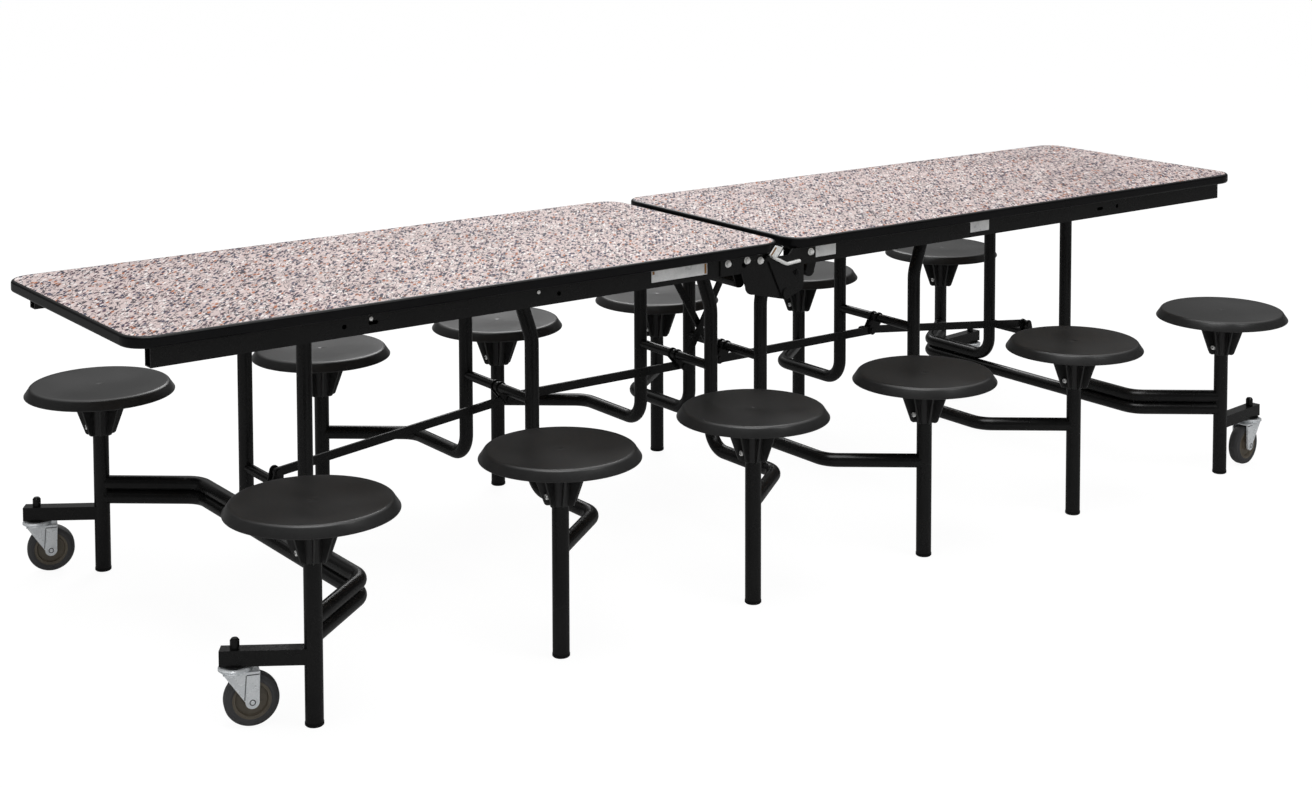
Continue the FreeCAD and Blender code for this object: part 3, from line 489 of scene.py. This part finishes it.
def piece(name: str, form: bmesh.types.BMesh, material: bpy.types.Material, body: str,
          sharp_degrees: float = 35.0) -> bpy.types.Object:
    """Turn a form into a piece that rides on a body.

    Args:
        name: the piece's name.
        form: its shape in the table's frame, which is freed.
        material: its finish.
        body: the body that carries it.
        sharp_degrees: edges with a larger turn stay sharp.

    Returns:
        The new object.
    """
    mesh = finish_mesh(form, name, sharp_degrees)
    mesh.materials.append(material)
    thing = bpy.data.objects.new(name, mesh)
    bpy.context.scene.collection.objects.link(thing)
    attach(thing, body)
    LOG.info("built %s", name)
    return thing


def arc(centre: tuple[float, float], radius: float, start: float, end: float,
        steps: int) -> list[tuple[float, float]]:
    """Return points on an arc.

    Args:
        centre: the arc's centre.
        radius: its radius.
        start: first angle in degrees.
        end: last angle in degrees.
        steps: how many spans.

    Returns:
        The points, both ends included.
    """
    turns = [math.radians(start + (end - start) * i / steps) for i in range(steps + 1)]
    return [(centre[0] + radius * math.cos(a), centre[1] + radius * math.sin(a)) for a in turns]


def lathe(form: bmesh.types.BMesh, profile: Sequence[tuple[float, float]], spans: int,
          closed: bool, shape: Optional[Matrix] = None) -> None:
    """Turn a profile about Z into a bmesh.

    Args:
        form: the bmesh that receives the faces.
        profile: (radius, height) points.
        spans: faces round the turn.
        closed: whether the profile's ends join.
        shape: a matrix for the new vertices.
    """
    rings: list[list[bmesh.types.BMVert]] = []
    made: list[bmesh.types.BMVert] = []
    for radius, height in profile:
        if radius < ON_AXIS:
            ring = [form.verts.new((0, 0, height))] * spans
            made.append(ring[0])
        else:
            ring = []
            for index in range(spans):
                angle = 2 * math.pi * index / spans
                spot = (radius * math.cos(angle), radius * math.sin(angle), height)
                ring.append(form.verts.new(spot))
            made.extend(ring)
        rings.append(ring)
    pairs = list(zip(rings, rings[1:]))
    if closed:
        pairs.append((rings[-1], rings[0]))
    for low, high in pairs:
        for index in range(spans):
            following = (index + 1) % spans
            corners = [low[index], low[following], high[following], high[index]]
            unique = list(dict.fromkeys(corners))
            if len(unique) > 2:
                form.faces.new(unique)
    if shape is not None:
        for vert in made:
            vert.co = shape @ vert.co


def along(start: Vector, end: Vector) -> Matrix:
    """Lay Z from one point towards another.

    Args:
        start: where the origin goes.
        end: what Z points at.

    Returns:
        The matrix.
    """
    turn = (end - start).to_track_quat("Z", "Y").to_matrix().to_4x4()
    return Matrix.Translation(start) @ turn


def plate_form(form: bmesh.types.BMesh, outline: Sequence[tuple[float, float]], y0: float,
               y1: float) -> None:
    """Add a plate with an X-Z outline between two Y planes.

    Args:
        form: the bmesh that receives it.
        outline: (x, z) corners.
        y0: the first plane.
        y1: the second plane.
    """
    front = [form.verts.new((x, y0, z)) for x, z in outline]
    back = [form.verts.new((x, y1, z)) for x, z in outline]
    form.faces.new(front)
    form.faces.new(list(reversed(back)))
    for index in range(len(outline)):
        following = (index + 1) % len(outline)
        form.faces.new((front[index], back[index], back[following], front[following]))


# ---------------------------------------------------------------- sub-assemblies


@dataclass(frozen=True)
class Lamp:
    """One soft square lamp, with its place, its side in metres and its power in watts."""

    name: str
    place: tuple[float, float, float]
    size: float
    power: float

    def build(self, aim: Vector) -> None:
        """Hang the lamp.

        Args:
            aim: what it points at.
        """
        data = bpy.data.lights.new(self.name, "AREA")
        data.shape = "SQUARE"
        data.size = self.size
        data.energy = self.power
        thing = bpy.data.objects.new(self.name, data)
        thing.location = self.place
        thing.rotation_euler = (aim - thing.location).to_track_quat("-Z", "Y").to_euler()
        bpy.context.scene.collection.objects.link(thing)


@dataclass
class Studio:
    """White paper, a white sky, soft lamps and the camera.

    The camera's focal length and the row of its axis are in pixels of the image.  Its yaw,
    pitch and roll are in radians.  Glossy pieces mirror a sky that is bright overhead and
    dark near the horizon.
    """

    image_width: float = 1312.0
    image_height: float = 788.0
    focal_pixels: float = 2105.1
    axis_row: float = -27.9
    eye: tuple[float, float, float] = (-3.0646, -4.0008, 1.6638)
    yaw: float = 0.63306
    pitch: float = 0.06532
    roll: float = 0.00226
    sensor_mm: float = 36.0
    view_reach: float = 200.0
    floor_half: float = 60.0
    floor_drop: float = 0.0005
    diffuse_sky: float = 0.45
    mirrored_dusk: float = 0.06
    mirrored_noon: float = 1.7
    sky_lean: float = 0.35
    sky_foot: float = 0.1
    sky_crown: float = 0.98
    sky_falloff: float = 4.0
    aim: tuple[float, float, float] = (0.0, 0.0, 0.5)
    lamps: tuple[Lamp, ...] = (Lamp("key", (-1.6, -1.4, 6.0), 3.6, 140.0),
                               Lamp("front", (1.2, -3.6, 4.6), 1.6, 30.0),
                               Lamp("back", (2.2, 3.4, 3.6), 2.6, 80.0))

    def camera(self) -> None:
        """Set the camera at the table's three-quarter view."""
        ahead = Vector((math.sin(self.yaw) * math.cos(self.pitch),
                        math.cos(self.yaw) * math.cos(self.pitch), -math.sin(self.pitch)))
        right = Vector((math.cos(self.yaw), -math.sin(self.yaw), 0.0))
        up = right.cross(ahead)
        turned = Matrix.Rotation(self.roll, 3, ahead)
        right, up = turned @ right, turned @ up
        data = bpy.data.cameras.new("camera")
        data.sensor_width = self.sensor_mm
        data.lens = self.focal_pixels / self.image_width * self.sensor_mm
        data.shift_y = (self.axis_row - self.image_height / 2) / self.image_width
        data.clip_end = self.view_reach
        thing = bpy.data.objects.new("camera", data)
        rotation = Matrix((right, up, -ahead)).transposed().to_4x4()
        thing.matrix_world = Matrix.Translation(Vector(self.eye)) @ rotation
        bpy.context.scene.collection.objects.link(thing)
        bpy.context.scene.camera = thing

    def floor(self) -> None:
        """Lay the paper."""
        half = self.floor_half
        form = bmesh.new()
        form.faces.new([form.verts.new((half * x, half * y, 0))
                        for x, y in ((-1, -1), (1, -1), (1, 1), (-1, 1))])
        mesh = bpy.data.meshes.new("studio_floor")
        form.to_mesh(mesh)
        form.free()
        mesh.materials.append(StudioPaper("studio_paper").build())
        floor = bpy.data.objects.new("studio_floor", mesh)
        floor.location.z = -self.floor_drop
        bpy.context.scene.collection.objects.link(floor)

    def sky(self) -> None:
        """Light the world: white to the camera, soft on matt faces, a bright crown in gloss."""
        world = bpy.data.worlds.new("studio")
        bpy.context.scene.world = world
        world.use_nodes = True
        tree = world.node_tree
        back = tree.nodes["Background"]
        back.inputs["Color"].default_value = linear("FFFFFF")
        path = add_node(tree, "ShaderNodeLightPath")
        crown = Vector((math.sin(self.yaw) * self.sky_lean,
                        math.cos(self.yaw) * self.sky_lean, 1.0)).normalized()
        heading = add_node(tree, "ShaderNodeTexCoord").outputs["Generated"]
        facing = add_node(tree, "ShaderNodeVectorMath", {"operation": "DOT_PRODUCT", 1: crown},
                          {0: heading})
        climb = add_node(tree, "ShaderNodeMapRange",
                         {"From Min": self.sky_foot, "From Max": self.sky_crown},
                         {"Value": facing.outputs["Value"]})
        bent = add_node(tree, "ShaderNodeMath", {"operation": "POWER", 1: self.sky_falloff},
                        {0: climb.outputs["Result"]})
        mirrored = add_node(tree, "ShaderNodeMapRange",
                            {"To Min": self.mirrored_dusk, "To Max": self.mirrored_noon},
                            {"Value": bent.outputs[0]})
        lit = add_node(tree, "ShaderNodeMix", {2: self.diffuse_sky},
                       {0: path.outputs["Is Glossy Ray"], 3: mirrored.outputs["Result"]})
        seen = add_node(tree, "ShaderNodeMath", {"operation": "MAXIMUM"},
                        {0: lit.outputs[0], 1: path.outputs["Is Camera Ray"]})
        tree.links.new(seen.outputs[0], back.inputs["Strength"])

    def build(self) -> None:
        """Make the floor, the sky, the lamps and the camera."""
        self.floor()
        self.sky()
        for lamp in self.lamps:
            lamp.build(Vector(self.aim))
        self.camera()
        bpy.context.scene.view_settings.view_transform = "Standard"
        LOG.info("built the studio")


@dataclass
class Stool:
    """A moulded seat with its dished top, rolled rim, ribbed hub and cross-head screw.

    Its section starts at the gate mark, the small pit and ring that moulding leaves at the
    middle of the top.
    """

    name: str
    centre: Vector
    top: float
    radius: float
    low: float
    rim_depth: float = 0.022
    lip_round: float = 0.002
    wall: float = 0.005
    top_radius: float = 0.157
    edge_round: float = 0.009
    dish_depth: float = 0.0025
    dish_steps: int = 12
    gate_radius: float = 0.0035
    gate_depth: float = 0.0006
    gate_ring_radius: float = 0.0075
    gate_ring_height: float = 0.0003
    hub_top_radius: float = 0.070
    hub_foot_radius: float = 0.032
    hub_shoulder_drop: float = 0.006
    foot_round: float = 0.008
    post_bore: float = 0.0178
    core_top_radius: float = 0.026
    core_foot_radius: float = 0.022
    ease: float = 0.001
    rib_count: int = 8
    rib_half: float = 0.002
    rib_sink: float = 0.001
    screw_rise: float = 0.021
    screw_radius: float = 0.0055
    screw_rim: float = 0.0032
    screw_dome: float = 0.0016
    screw_sink: float = 0.001
    recess_long: float = 0.0030
    recess_short: float = 0.0006
    recess_depth: float = 0.001
    recess_stand: float = 0.0003
    seat_spans: int = 96
    screw_spans: int = 28

    @classmethod
    def from_node(cls, name: str) -> "Stool":
        """Read a seat's place from the frame.

        Args:
            name: the seat's node.

        Returns:
            The stool.
        """
        low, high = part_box(name)
        middle = (low + high) / 2
        return cls(name, Vector((middle.x, middle.y, 0.0)), high.z, (high.x - low.x) / 2, low.z)

    def profile(self) -> list[tuple[float, float]]:
        """Draw the seat's section, from the gate mark over the rim to the underside.

        Returns:
            The (radius, height) points.
        """
        top = self.top
        dish_floor = top - self.dish_depth
        gate_floor = dish_floor - self.gate_depth
        ring = self.gate_ring_radius
        gate = [(0.0, gate_floor), (self.gate_radius, gate_floor),
                ((self.gate_radius + ring) / 2, dish_floor),
                (ring, dish_floor + self.gate_ring_height)]
        dish_edge = self.top_radius - 2.0 * self.edge_round
        dish = []
        for index in range(1, self.dish_steps + 1):
            share = index / self.dish_steps
            lift = self.dish_depth * (1 - math.cos(math.pi * share)) / 2
            dish.append((ring + (dish_edge - ring) * share, dish_floor + lift))
        rim_low = top - self.rim_depth
        shoulder = arc((self.top_radius - self.edge_round, top - self.edge_round), self.edge_round,
                       88, 22, 7)
        lip = arc((self.radius - self.lip_round, rim_low + self.lip_round), self.lip_round,
                  18, -90, 5)
        under = top - self.wall
        inside = [(self.radius - self.wall, rim_low),
                  (self.radius - self.wall, rim_low + self.ease),
                  (self.top_radius - self.wall, under - self.edge_round),
                  (self.top_radius - 3 * self.wall, under)]
        hub = [(self.core_top_radius, under), (self.core_foot_radius, self.low + self.ease),
               (self.core_foot_radius - self.ease, self.low), (self.post_bore, self.low),
               (self.post_bore, under), (0.0, under)]
        return gate + dish + shoulder + lip + inside + hub

    def ribs(self, form: bmesh.types.BMesh) -> None:
        """Add the ribs that taper down the hub.

        Args:
            form: the bmesh that receives them.
        """
        under = self.top - self.wall
        shoulder = Vector((self.hub_top_radius, under - self.hub_shoulder_drop))
        corner = Vector((self.hub_foot_radius, self.low))
        slope = (shoulder - corner).normalized()
        half_turn = slope.angle(Vector((-1.0, 0.0))) / 2
        setback = self.foot_round / math.tan(half_turn)
        inward = Vector((-slope.y, slope.x))
        middle = corner + slope * setback + inward * self.foot_round
        tilt = math.degrees(math.atan2(-inward.y, -inward.x))
        rounded = arc((middle.x, middle.y), self.foot_round, tilt, -90, 6)
        root = self.post_bore + self.rib_sink
        outline = [(root, under + self.rib_sink), (self.hub_top_radius, under + self.rib_sink),
                   (shoulder.x, shoulder.y)] + rounded + [(root, self.low)]
        for index in range(self.rib_count):
            before = set(form.verts)
            plate_form(form, outline, -self.rib_half, self.rib_half)
            spin = Matrix.Rotation(2 * math.pi * (index + 0.5) / self.rib_count, 4, "Z")
            for vert in set(form.verts) - before:
                vert.co = spin @ vert.co

    def screw(self, finishes: Finishes) -> None:
        """Add the bright screw with its cross recess.

        Args:
            finishes: the table's materials.
        """
        height = self.low + self.screw_rise
        move = Matrix.Translation(self.centre)
        seat_face = self.screw_sink - self.hub_foot_radius
        form = bmesh.new()
        shape = along(Vector((seat_face, 0, height)), Vector((-1.0, 0, height)))
        head = [(0.0, 0.0), (self.screw_radius, 0.0), (self.screw_radius, self.screw_rim)]
        head += [(self.screw_radius * math.cos(a), self.screw_rim + self.screw_dome * math.sin(a))
                 for a in (math.radians(t) for t in (15, 35, 55, 75))]
        head.append((0.0, self.screw_rim + self.screw_dome))
        lathe(form, head, self.screw_spans, False, shape)
        form.transform(move)
        name = self.name + "_screw"
        screw = piece(name, form, finishes.nickel, self.name)
        form = bmesh.new()
        face = seat_face - self.screw_rim - self.screw_dome - self.recess_stand
        for tall, wide in ((self.recess_long, self.recess_short),
                           (self.recess_short, self.recess_long)):
            outline = [(x, height + z) for x, z in
                       ((face, -tall), (face + self.recess_depth, -tall),
                        (face + self.recess_depth, tall), (face, tall))]
            plate_form(form, outline, -wide, wide)
        form.transform(move)
        # The cross recess is a near-black cross on the head: painted shade for its inside.
        recess = piece(name + "_recess", form, finishes.shadow, self.name)

    def build(self, finishes: Finishes) -> None:
        """Make the seat over its plain solid.

        Args:
            finishes: the table's materials.
        """
        form = bmesh.new()
        lathe(form, self.profile(), self.seat_spans, False)
        self.ribs(form)
        form.transform(Matrix.Translation(self.centre))
        seat = piece(self.name + "_shell", form, finishes.abs, self.name, sharp_degrees=40.0)
        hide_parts(self.name)
        self.screw(finishes)


@dataclass
class RailHardware:
    """Bolts and rivets on both rails, blank foil plates on the near one, and the latch's catch.

    Places are (x, z) points.  An ease is how far a rim steps in, then how far down it starts.
    """

    nut_radius: float = 0.0065
    nut_height: float = 0.005
    nut_ease: tuple[float, float] = (0.0009, 0.0006)
    washer_radius: float = 0.0085
    washer_height: float = 0.0014
    washer_ease: tuple[float, float] = (0.0004, 0.00042)
    washer_spans: int = 28
    tip_radius: float = 0.0032
    tip_height: float = 0.0014
    tip_dome: float = 0.0010
    tip_brow: tuple[float, float] = (0.6, 0.8)
    rivet_sphere: float = 0.005376
    rivet_sink: float = 0.00336
    rivet_start: float = 38.7
    small_spans: int = 20
    foil_low: float = 0.683
    foil_high: float = 0.7095
    foil_thickness: float = 0.0004
    foil_corner: float = 0.0015
    stain_margin: float = 0.002
    stain_width: float = 0.006
    stain_short: float = 0.009
    stain_thickness: float = 0.0002
    hinge_layer: float = 0.004
    layer_gap: float = 0.0006
    left_bolts: tuple[tuple[float, float], ...] = (
        (-0.167, 0.700), (-0.112, 0.701), (-0.073, 0.696))
    right_bolts: tuple[tuple[float, float], ...] = ((0.073, 0.700),)
    right_studs: tuple[tuple[float, float], ...] = ((0.030, 0.658),)
    left_rivets: tuple[tuple[float, float], ...] = ((-1.070, 0.700), (-0.671, 0.701))
    left_foil: tuple[float, float] = (-0.377, -0.223)
    right_foils: tuple[tuple[float, float], ...] = ((0.092, 0.157), (0.596, 0.660))
    catch_corners: tuple[tuple[float, float], ...] = (
        (-0.0650, 0.7110), (-0.0470, 0.7316), (-0.0250, 0.7240), (-0.0418, 0.7036))
    neck_corners: tuple[tuple[float, float], ...] = (
        (-0.0540, 0.7035), (-0.0540, 0.7095), (-0.0450, 0.7095), (-0.0450, 0.7035))
    catch_gap: float = 0.0010
    catch_thickness: float = 0.0022
    catch_ease: float = 0.0005
    catch_stain_inset: float = 0.0025
    catch_stain_width: float = 0.0040
    tab_thickness: float = 0.003
    face: float = field(init=False, default=0.0)

    def outward(self, side: int, x: float, z: float, reach: float) -> Matrix:
        """Point Z out of a rail.

        Args:
            side: -1 for the near rail, 1 for the far one.
            x: place along the table.
            z: height.
            reach: distance from the table's middle plane.

        Returns:
            The matrix.
        """
        start = Vector((x, side * reach, z))
        return along(start, start + Vector((0, side, 0)))

    def bolt(self, form: bmesh.types.BMesh, shape: Matrix) -> None:
        """Add a washer, a hexagon nut and the rounded end of its bolt.

        Args:
            form: the bmesh that receives them.
            shape: lays Z out of the rail.
        """
        low = self.washer_height
        high = low + self.nut_height
        tip = self.tip_radius
        collar = high + self.tip_height
        (washer_in, washer_down), (nut_in, nut_down) = self.washer_ease, self.nut_ease
        brow_in, brow_up = self.tip_brow
        washer = [(0.0, 0.0), (self.washer_radius, 0.0), (self.washer_radius, low - washer_down),
                  (self.washer_radius - washer_in, low), (0.0, low)]
        nut = [(0.0, low), (self.nut_radius, low), (self.nut_radius, high - nut_down),
               (self.nut_radius - nut_in, high), (0.0, high)]
        end = [(0.0, high), (tip, high), (tip, collar),
               (tip * brow_in, collar + brow_up * self.tip_dome), (0.0, collar + self.tip_dome)]
        for profile, spans in ((washer, self.washer_spans), (nut, HEXAGON),
                               (end, self.small_spans)):
            lathe(form, profile, spans, False, shape)

    def rivet(self, form: bmesh.types.BMesh, shape: Matrix) -> None:
        """Add a domed rivet head.

        Args:
            form: the bmesh that receives it.
            shape: lays Z out of the rail.
        """
        dome = arc((0.0, -self.rivet_sink), self.rivet_sphere, self.rivet_start, 90, 5)
        lathe(form, dome, self.small_spans, False, shape)

    def foil(self, name: str, x0: float, x1: float, finishes: Finishes, body: str) -> None:
        """Add one blank foil plate with soft corners on the near rail.

        Args:
            name: its name.
            x0: its left end.
            x1: its right end.
            finishes: the table's materials.
            body: the body that carries it.
        """
        corner = self.foil_corner
        low, high = self.foil_low + corner, self.foil_high - corner
        outline: list[tuple[float, float]] = []
        for x, z, start in ((x1 - corner, high, 0), (x0 + corner, high, 90),
                            (x0 + corner, low, 180), (x1 - corner, low, 270)):
            outline += arc((x, z), corner, start, start + 90, 4)
        form = bmesh.new()
        plate_form(form, outline, -self.face, -(self.face + self.foil_thickness))
        piece(name, form, finishes.foil, body)

    def stain(self, name: str, x0: float, x1: float, finishes: Finishes, body: str) -> None:
        """Add the rusty ends of a foil plate: a short one at the left, a tall one at the right.

        Args:
            name: the stains' name.
            x0: the plate's left end.
            x1: its right end.
            finishes: the table's materials.
            body: the body that carries it.
        """
        front = self.face + self.foil_thickness
        high = self.foil_high - self.stain_margin
        left = x0 + self.stain_margin
        right = x1 - self.stain_margin - self.stain_width
        form = bmesh.new()
        for start, low in ((left, self.foil_high - self.stain_short),
                           (right, self.foil_low + self.stain_margin)):
            end = start + self.stain_width
            plate_form(form, [(start, low), (end, low), (end, high), (start, high)],
                       -front, -front - self.stain_thickness)
        piece(name, form, finishes.rust, body)

    def latch_catch(self, finishes: Finishes) -> None:
        """Add the bright catch that stands off the latch's tab, in front of the edge band.

        Args:
            finishes: the table's materials.
        """
        tab_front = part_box("latch_handle")[1].y - self.tab_thickness
        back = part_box("left_edge_band")[0].y - self.catch_gap
        front = back - self.catch_thickness
        form = bmesh.new()
        plate_form(form, self.catch_corners, front, back)
        plate_form(form, self.neck_corners, (front + back) / 2, tab_front)
        bmesh.ops.bevel(form, geom=list(form.edges), offset=self.catch_ease, segments=2,
                        affect="EDGES")
        piece("latch_catch", form, finishes.nickel, "latch")
        foot, top = Vector(self.catch_corners[0]), Vector(self.catch_corners[1])
        inset = (top - foot).normalized() * self.catch_stain_inset
        across = Vector((inset.y, -inset.x))
        wide = across + across.normalized() * self.catch_stain_width
        strip = [foot + inset + across, top - inset + across, top - inset + wide,
                 foot + inset + wide]
        form = bmesh.new()
        plate_form(form, [(point.x, point.y) for point in strip], front - self.stain_thickness,
                   front)
        piece("latch_catch_stain", form, finishes.rust, "latch")

    def fasteners(self, half: Side, finishes: Finishes) -> None:
        """Add one half's bolts, rivets and dark stud on both rails.

        Args:
            half: the half of the table.
            finishes: the table's materials.
        """
        left = half is Side.LEFT
        layers = self.hinge_layer if left else 2 * self.hinge_layer + self.layer_gap
        bright, dark = bmesh.new(), bmesh.new()
        for side in (-1, 1):
            for x, z in self.left_bolts if left else self.right_bolts:
                self.bolt(bright, self.outward(side, x, z, self.face + layers))
            for x, z in () if left else self.right_studs:
                self.bolt(dark, self.outward(side, x, z, self.face + layers))
            for x, z in self.left_rivets if left else ():
                self.rivet(bright, self.outward(side, x, z, self.face))
        body = half.word + "_top"
        piece(half.word + "_fasteners", bright, finishes.nickel, body)
        if dark.verts:
            piece(half.word + "_studs", dark, finishes.powder, body)
        else:
            dark.free()

    def build(self, finishes: Finishes) -> None:
        """Make the hardware of both halves.

        Args:
            finishes: the table's materials.
        """
        self.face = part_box("left_top_rails")[1].y
        for half in Side:
            self.fasteners(half, finishes)
        self.latch_catch(finishes)
        self.foil("left_foil_plate", *self.left_foil, finishes, "left_top")
        self.stain("left_foil_plate_stain", *self.left_foil, finishes, "left_top")
        for index, (x0, x1) in enumerate(self.right_foils, start=1):
            self.foil(f"right_foil_plate_{index}", x0, x1, finishes, "right_top")


@dataclass
class ForkTrim:
    """The rivet heads of one caster's pressed fork, with painted shade in its creases and round
    the rivet heads.

    The local frame has its X from the swivel axis to the axle, its Y along the axle and its Z up.
    """

    name: str
    shape: Matrix
    axle: Vector
    crown: float
    rib_face: float = 0.0229
    cheek_face: float = 0.0211
    head_height: float = 0.0025
    groove_inner: float = 0.0040
    groove_outer: float = 0.0060
    dimple_sphere: float = 0.0042
    dimple_sink: float = 0.0030
    ring_height: float = 0.008
    rib_gap: float = 0.006
    rib_back_top: float = 0.019
    rib_front_top: float = 0.043
    rib_back_foot: float = 0.0155
    rib_foot_rise: float = 0.004
    crease: float = 0.0016
    skin: float = 0.0002
    groove_spans: int = 32
    dimple_spans: int = 24

    @classmethod
    def from_joints(cls, name: str, joints: Sequence[dict]) -> "ForkTrim":
        """Read a fork's frame from its two joints.

        Args:
            name: the fork's node.
            joints: the model's joints.

        Returns:
            The trim.
        """
        swivel = next(j for j in joints if j["child"] == name)
        spin = next(j for j in joints if j["parent"] == name)
        start, axle = Vector(swivel["pos_m"]), Vector(spin["pos_m"])
        start.z = 0.0
        ahead = Vector((axle.x - start.x, axle.y - start.y, 0.0))
        trail = ahead.length
        ahead.normalize()
        side = Vector((0, 0, 1)).cross(ahead)
        turn = Matrix((ahead, side, Vector((0, 0, 1)))).transposed().to_4x4()
        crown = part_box(name)[1].z - cls.ring_height - cls.rib_gap
        return cls(name, Matrix.Translation(start) @ turn, Vector((trail, 0.0, axle.z)), crown)

    def rivet(self, form: bmesh.types.BMesh, dark: bmesh.types.BMesh, side: int) -> None:
        """Add the dimple of a rivet head and a dark ring round it, painted shade for the groove
        there.

        Args:
            form: receives the bright dimple.
            dark: receives the groove's painted shade.
            side: 1 or -1, the cheek.
        """
        face = self.rib_face + self.head_height
        start = Vector((self.axle.x, side * face, self.axle.z))
        shape = along(start, start + Vector((0, side, 0)))
        inner, outer = self.groove_inner, self.groove_outer
        lathe(dark, [(inner, 0.0), (inner, self.skin), (outer, self.skin), (outer, 0.0)],
              self.groove_spans, True, shape)
        dimple = arc((0.0, -self.dimple_sink), self.dimple_sphere, 45, 90, 4)
        lathe(form, dimple, self.dimple_spans, False, shape)

    def creases(self, dark: bmesh.types.BMesh, side: int) -> None:
        """Add painted shade in the creases along the raised strip's back and top edges.

        Args:
            dark: receives them.
            side: 1 or -1, the cheek.
        """
        low, high = sorted((side * self.cheek_face, side * (self.cheek_face + self.skin)))
        wide, crown, foot = self.crease, self.crown, self.axle.z + self.rib_foot_rise
        back_top, back_foot, front = self.rib_back_top, self.rib_back_foot, self.rib_front_top
        back_crease = [(back_top - wide, crown), (back_top, crown), (back_foot, foot),
                       (back_foot - wide, foot)]
        top_crease = [(back_top, crown), (front, crown), (front, crown + wide),
                      (back_top, crown + wide)]
        for outline in (back_crease, top_crease):
            plate_form(dark, outline, low, high)

    def build(self, finishes: Finishes) -> None:
        """Make the trim on both cheeks.

        Args:
            finishes: the table's materials.
        """
        bright, dark = bmesh.new(), bmesh.new()
        for side in (-1, 1):
            self.rivet(bright, dark, side)
            self.creases(dark, side)
        # The dark pieces are painted shade in the creases and rivet grooves.
        for form, word, material in ((bright, "_rivets", finishes.zinc),
                                     (dark, "_creases", finishes.fork_crease_shade)):
            form.transform(self.shape)
            piece(self.name + word, form, material, self.name)


@dataclass
class Dresser:
    """Gives each node that keeps its own shape its finish."""

    frame: dict
    finishes: Finishes
    core_share: float = 0.69
    latch_grip_depth: float = 0.0032
    latch_tab_end: float = -0.0085
    glide_top: float = 0.0072

    def dress(self, name: str, material: bpy.types.Material,
              second: Optional[bpy.types.Material] = None,
              belongs: Optional[Callable[[Vector], bool]] = None) -> None:
        """Put a material on a node, and a second one where a test says so.

        Args:
            name: the node.
            material: its finish.
            second: the finish of some of its faces.
            belongs: tells from a face's centre whether it takes the second finish.
        """
        mesh = self.frame["nodes"][name].data
        mesh.materials.clear()
        mesh.materials.append(material)
        if second is None or belongs is None:
            return
        mesh.materials.append(second)
        for face in mesh.polygons:
            face.material_index = int(belongs(face.center))

    def wheel(self, name: str) -> None:
        """Dress a wheel's core and its tyre apart, by the distance from the axle.

        Args:
            name: the wheel's node.
        """
        low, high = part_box(name)
        middle = (low + high) / 2
        radius = (high.z - low.z) / 2
        joint = next(j for j in self.frame["joints"] if j["child"] == name)
        axis = Vector(joint["axis"])
        core = self.core_share * radius

        def in_core(point: Vector) -> bool:
            """Tell whether a point lies inside the core's rim."""
            offset = point - middle
            return (offset - axis * offset.dot(axis)).length < core

        self.dress(name, self.finishes.rubber, self.finishes.core, in_core)

    def latch(self, name: str) -> None:
        """Dress the latch's bent rod bright and its tab black.

        Args:
            name: the latch's node.
        """
        tab_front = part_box(name)[1].y - self.latch_grip_depth

        def on_tab(point: Vector) -> bool:
            """Tell whether a point lies on the tab behind the rod."""
            return point.y > tab_front and point.x < self.latch_tab_end

        self.dress(name, self.finishes.nickel, self.finishes.powder, on_tab)

    def build(self) -> None:
        """Dress every node by what it is made of."""
        finishes = self.finishes
        for name in self.frame["nodes"]:
            if name.endswith("_top_board"):
                self.dress(name, finishes.laminate)
            elif name.endswith("_edge_band"):
                self.dress(name, finishes.vinyl)
            elif name.endswith("_posts"):
                self.dress(name, finishes.powder, finishes.nylon,
                           lambda point: point.z < self.glide_top)
            elif name.startswith("caster_fork"):
                self.dress(name, finishes.zinc)
            elif name.startswith("caster_wheel"):
                self.wheel(name)
            elif name.startswith("latch"):
                self.latch(name)
            elif name.startswith("seat_"):
                self.dress(name, finishes.abs)
            else:
                self.dress(name, finishes.powder)
        LOG.info("dressed %d nodes", len(self.frame["nodes"]))


def main() -> None:
    """Build the looks in order."""
    logging.basicConfig(level=logging.INFO, format="%(name)s: %(message)s")
    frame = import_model()
    finishes = Finishes()
    Dresser(frame, finishes).build()
    for name in sorted(frame["nodes"]):
        if name.startswith("seat_"):
            Stool.from_node(name).build(finishes)
        elif name.startswith("caster_fork"):
            ForkTrim.from_joints(name, frame["joints"]).build(finishes)
    RailHardware().build(finishes)
    Studio().build()


if __name__ == "__main__":
    main()
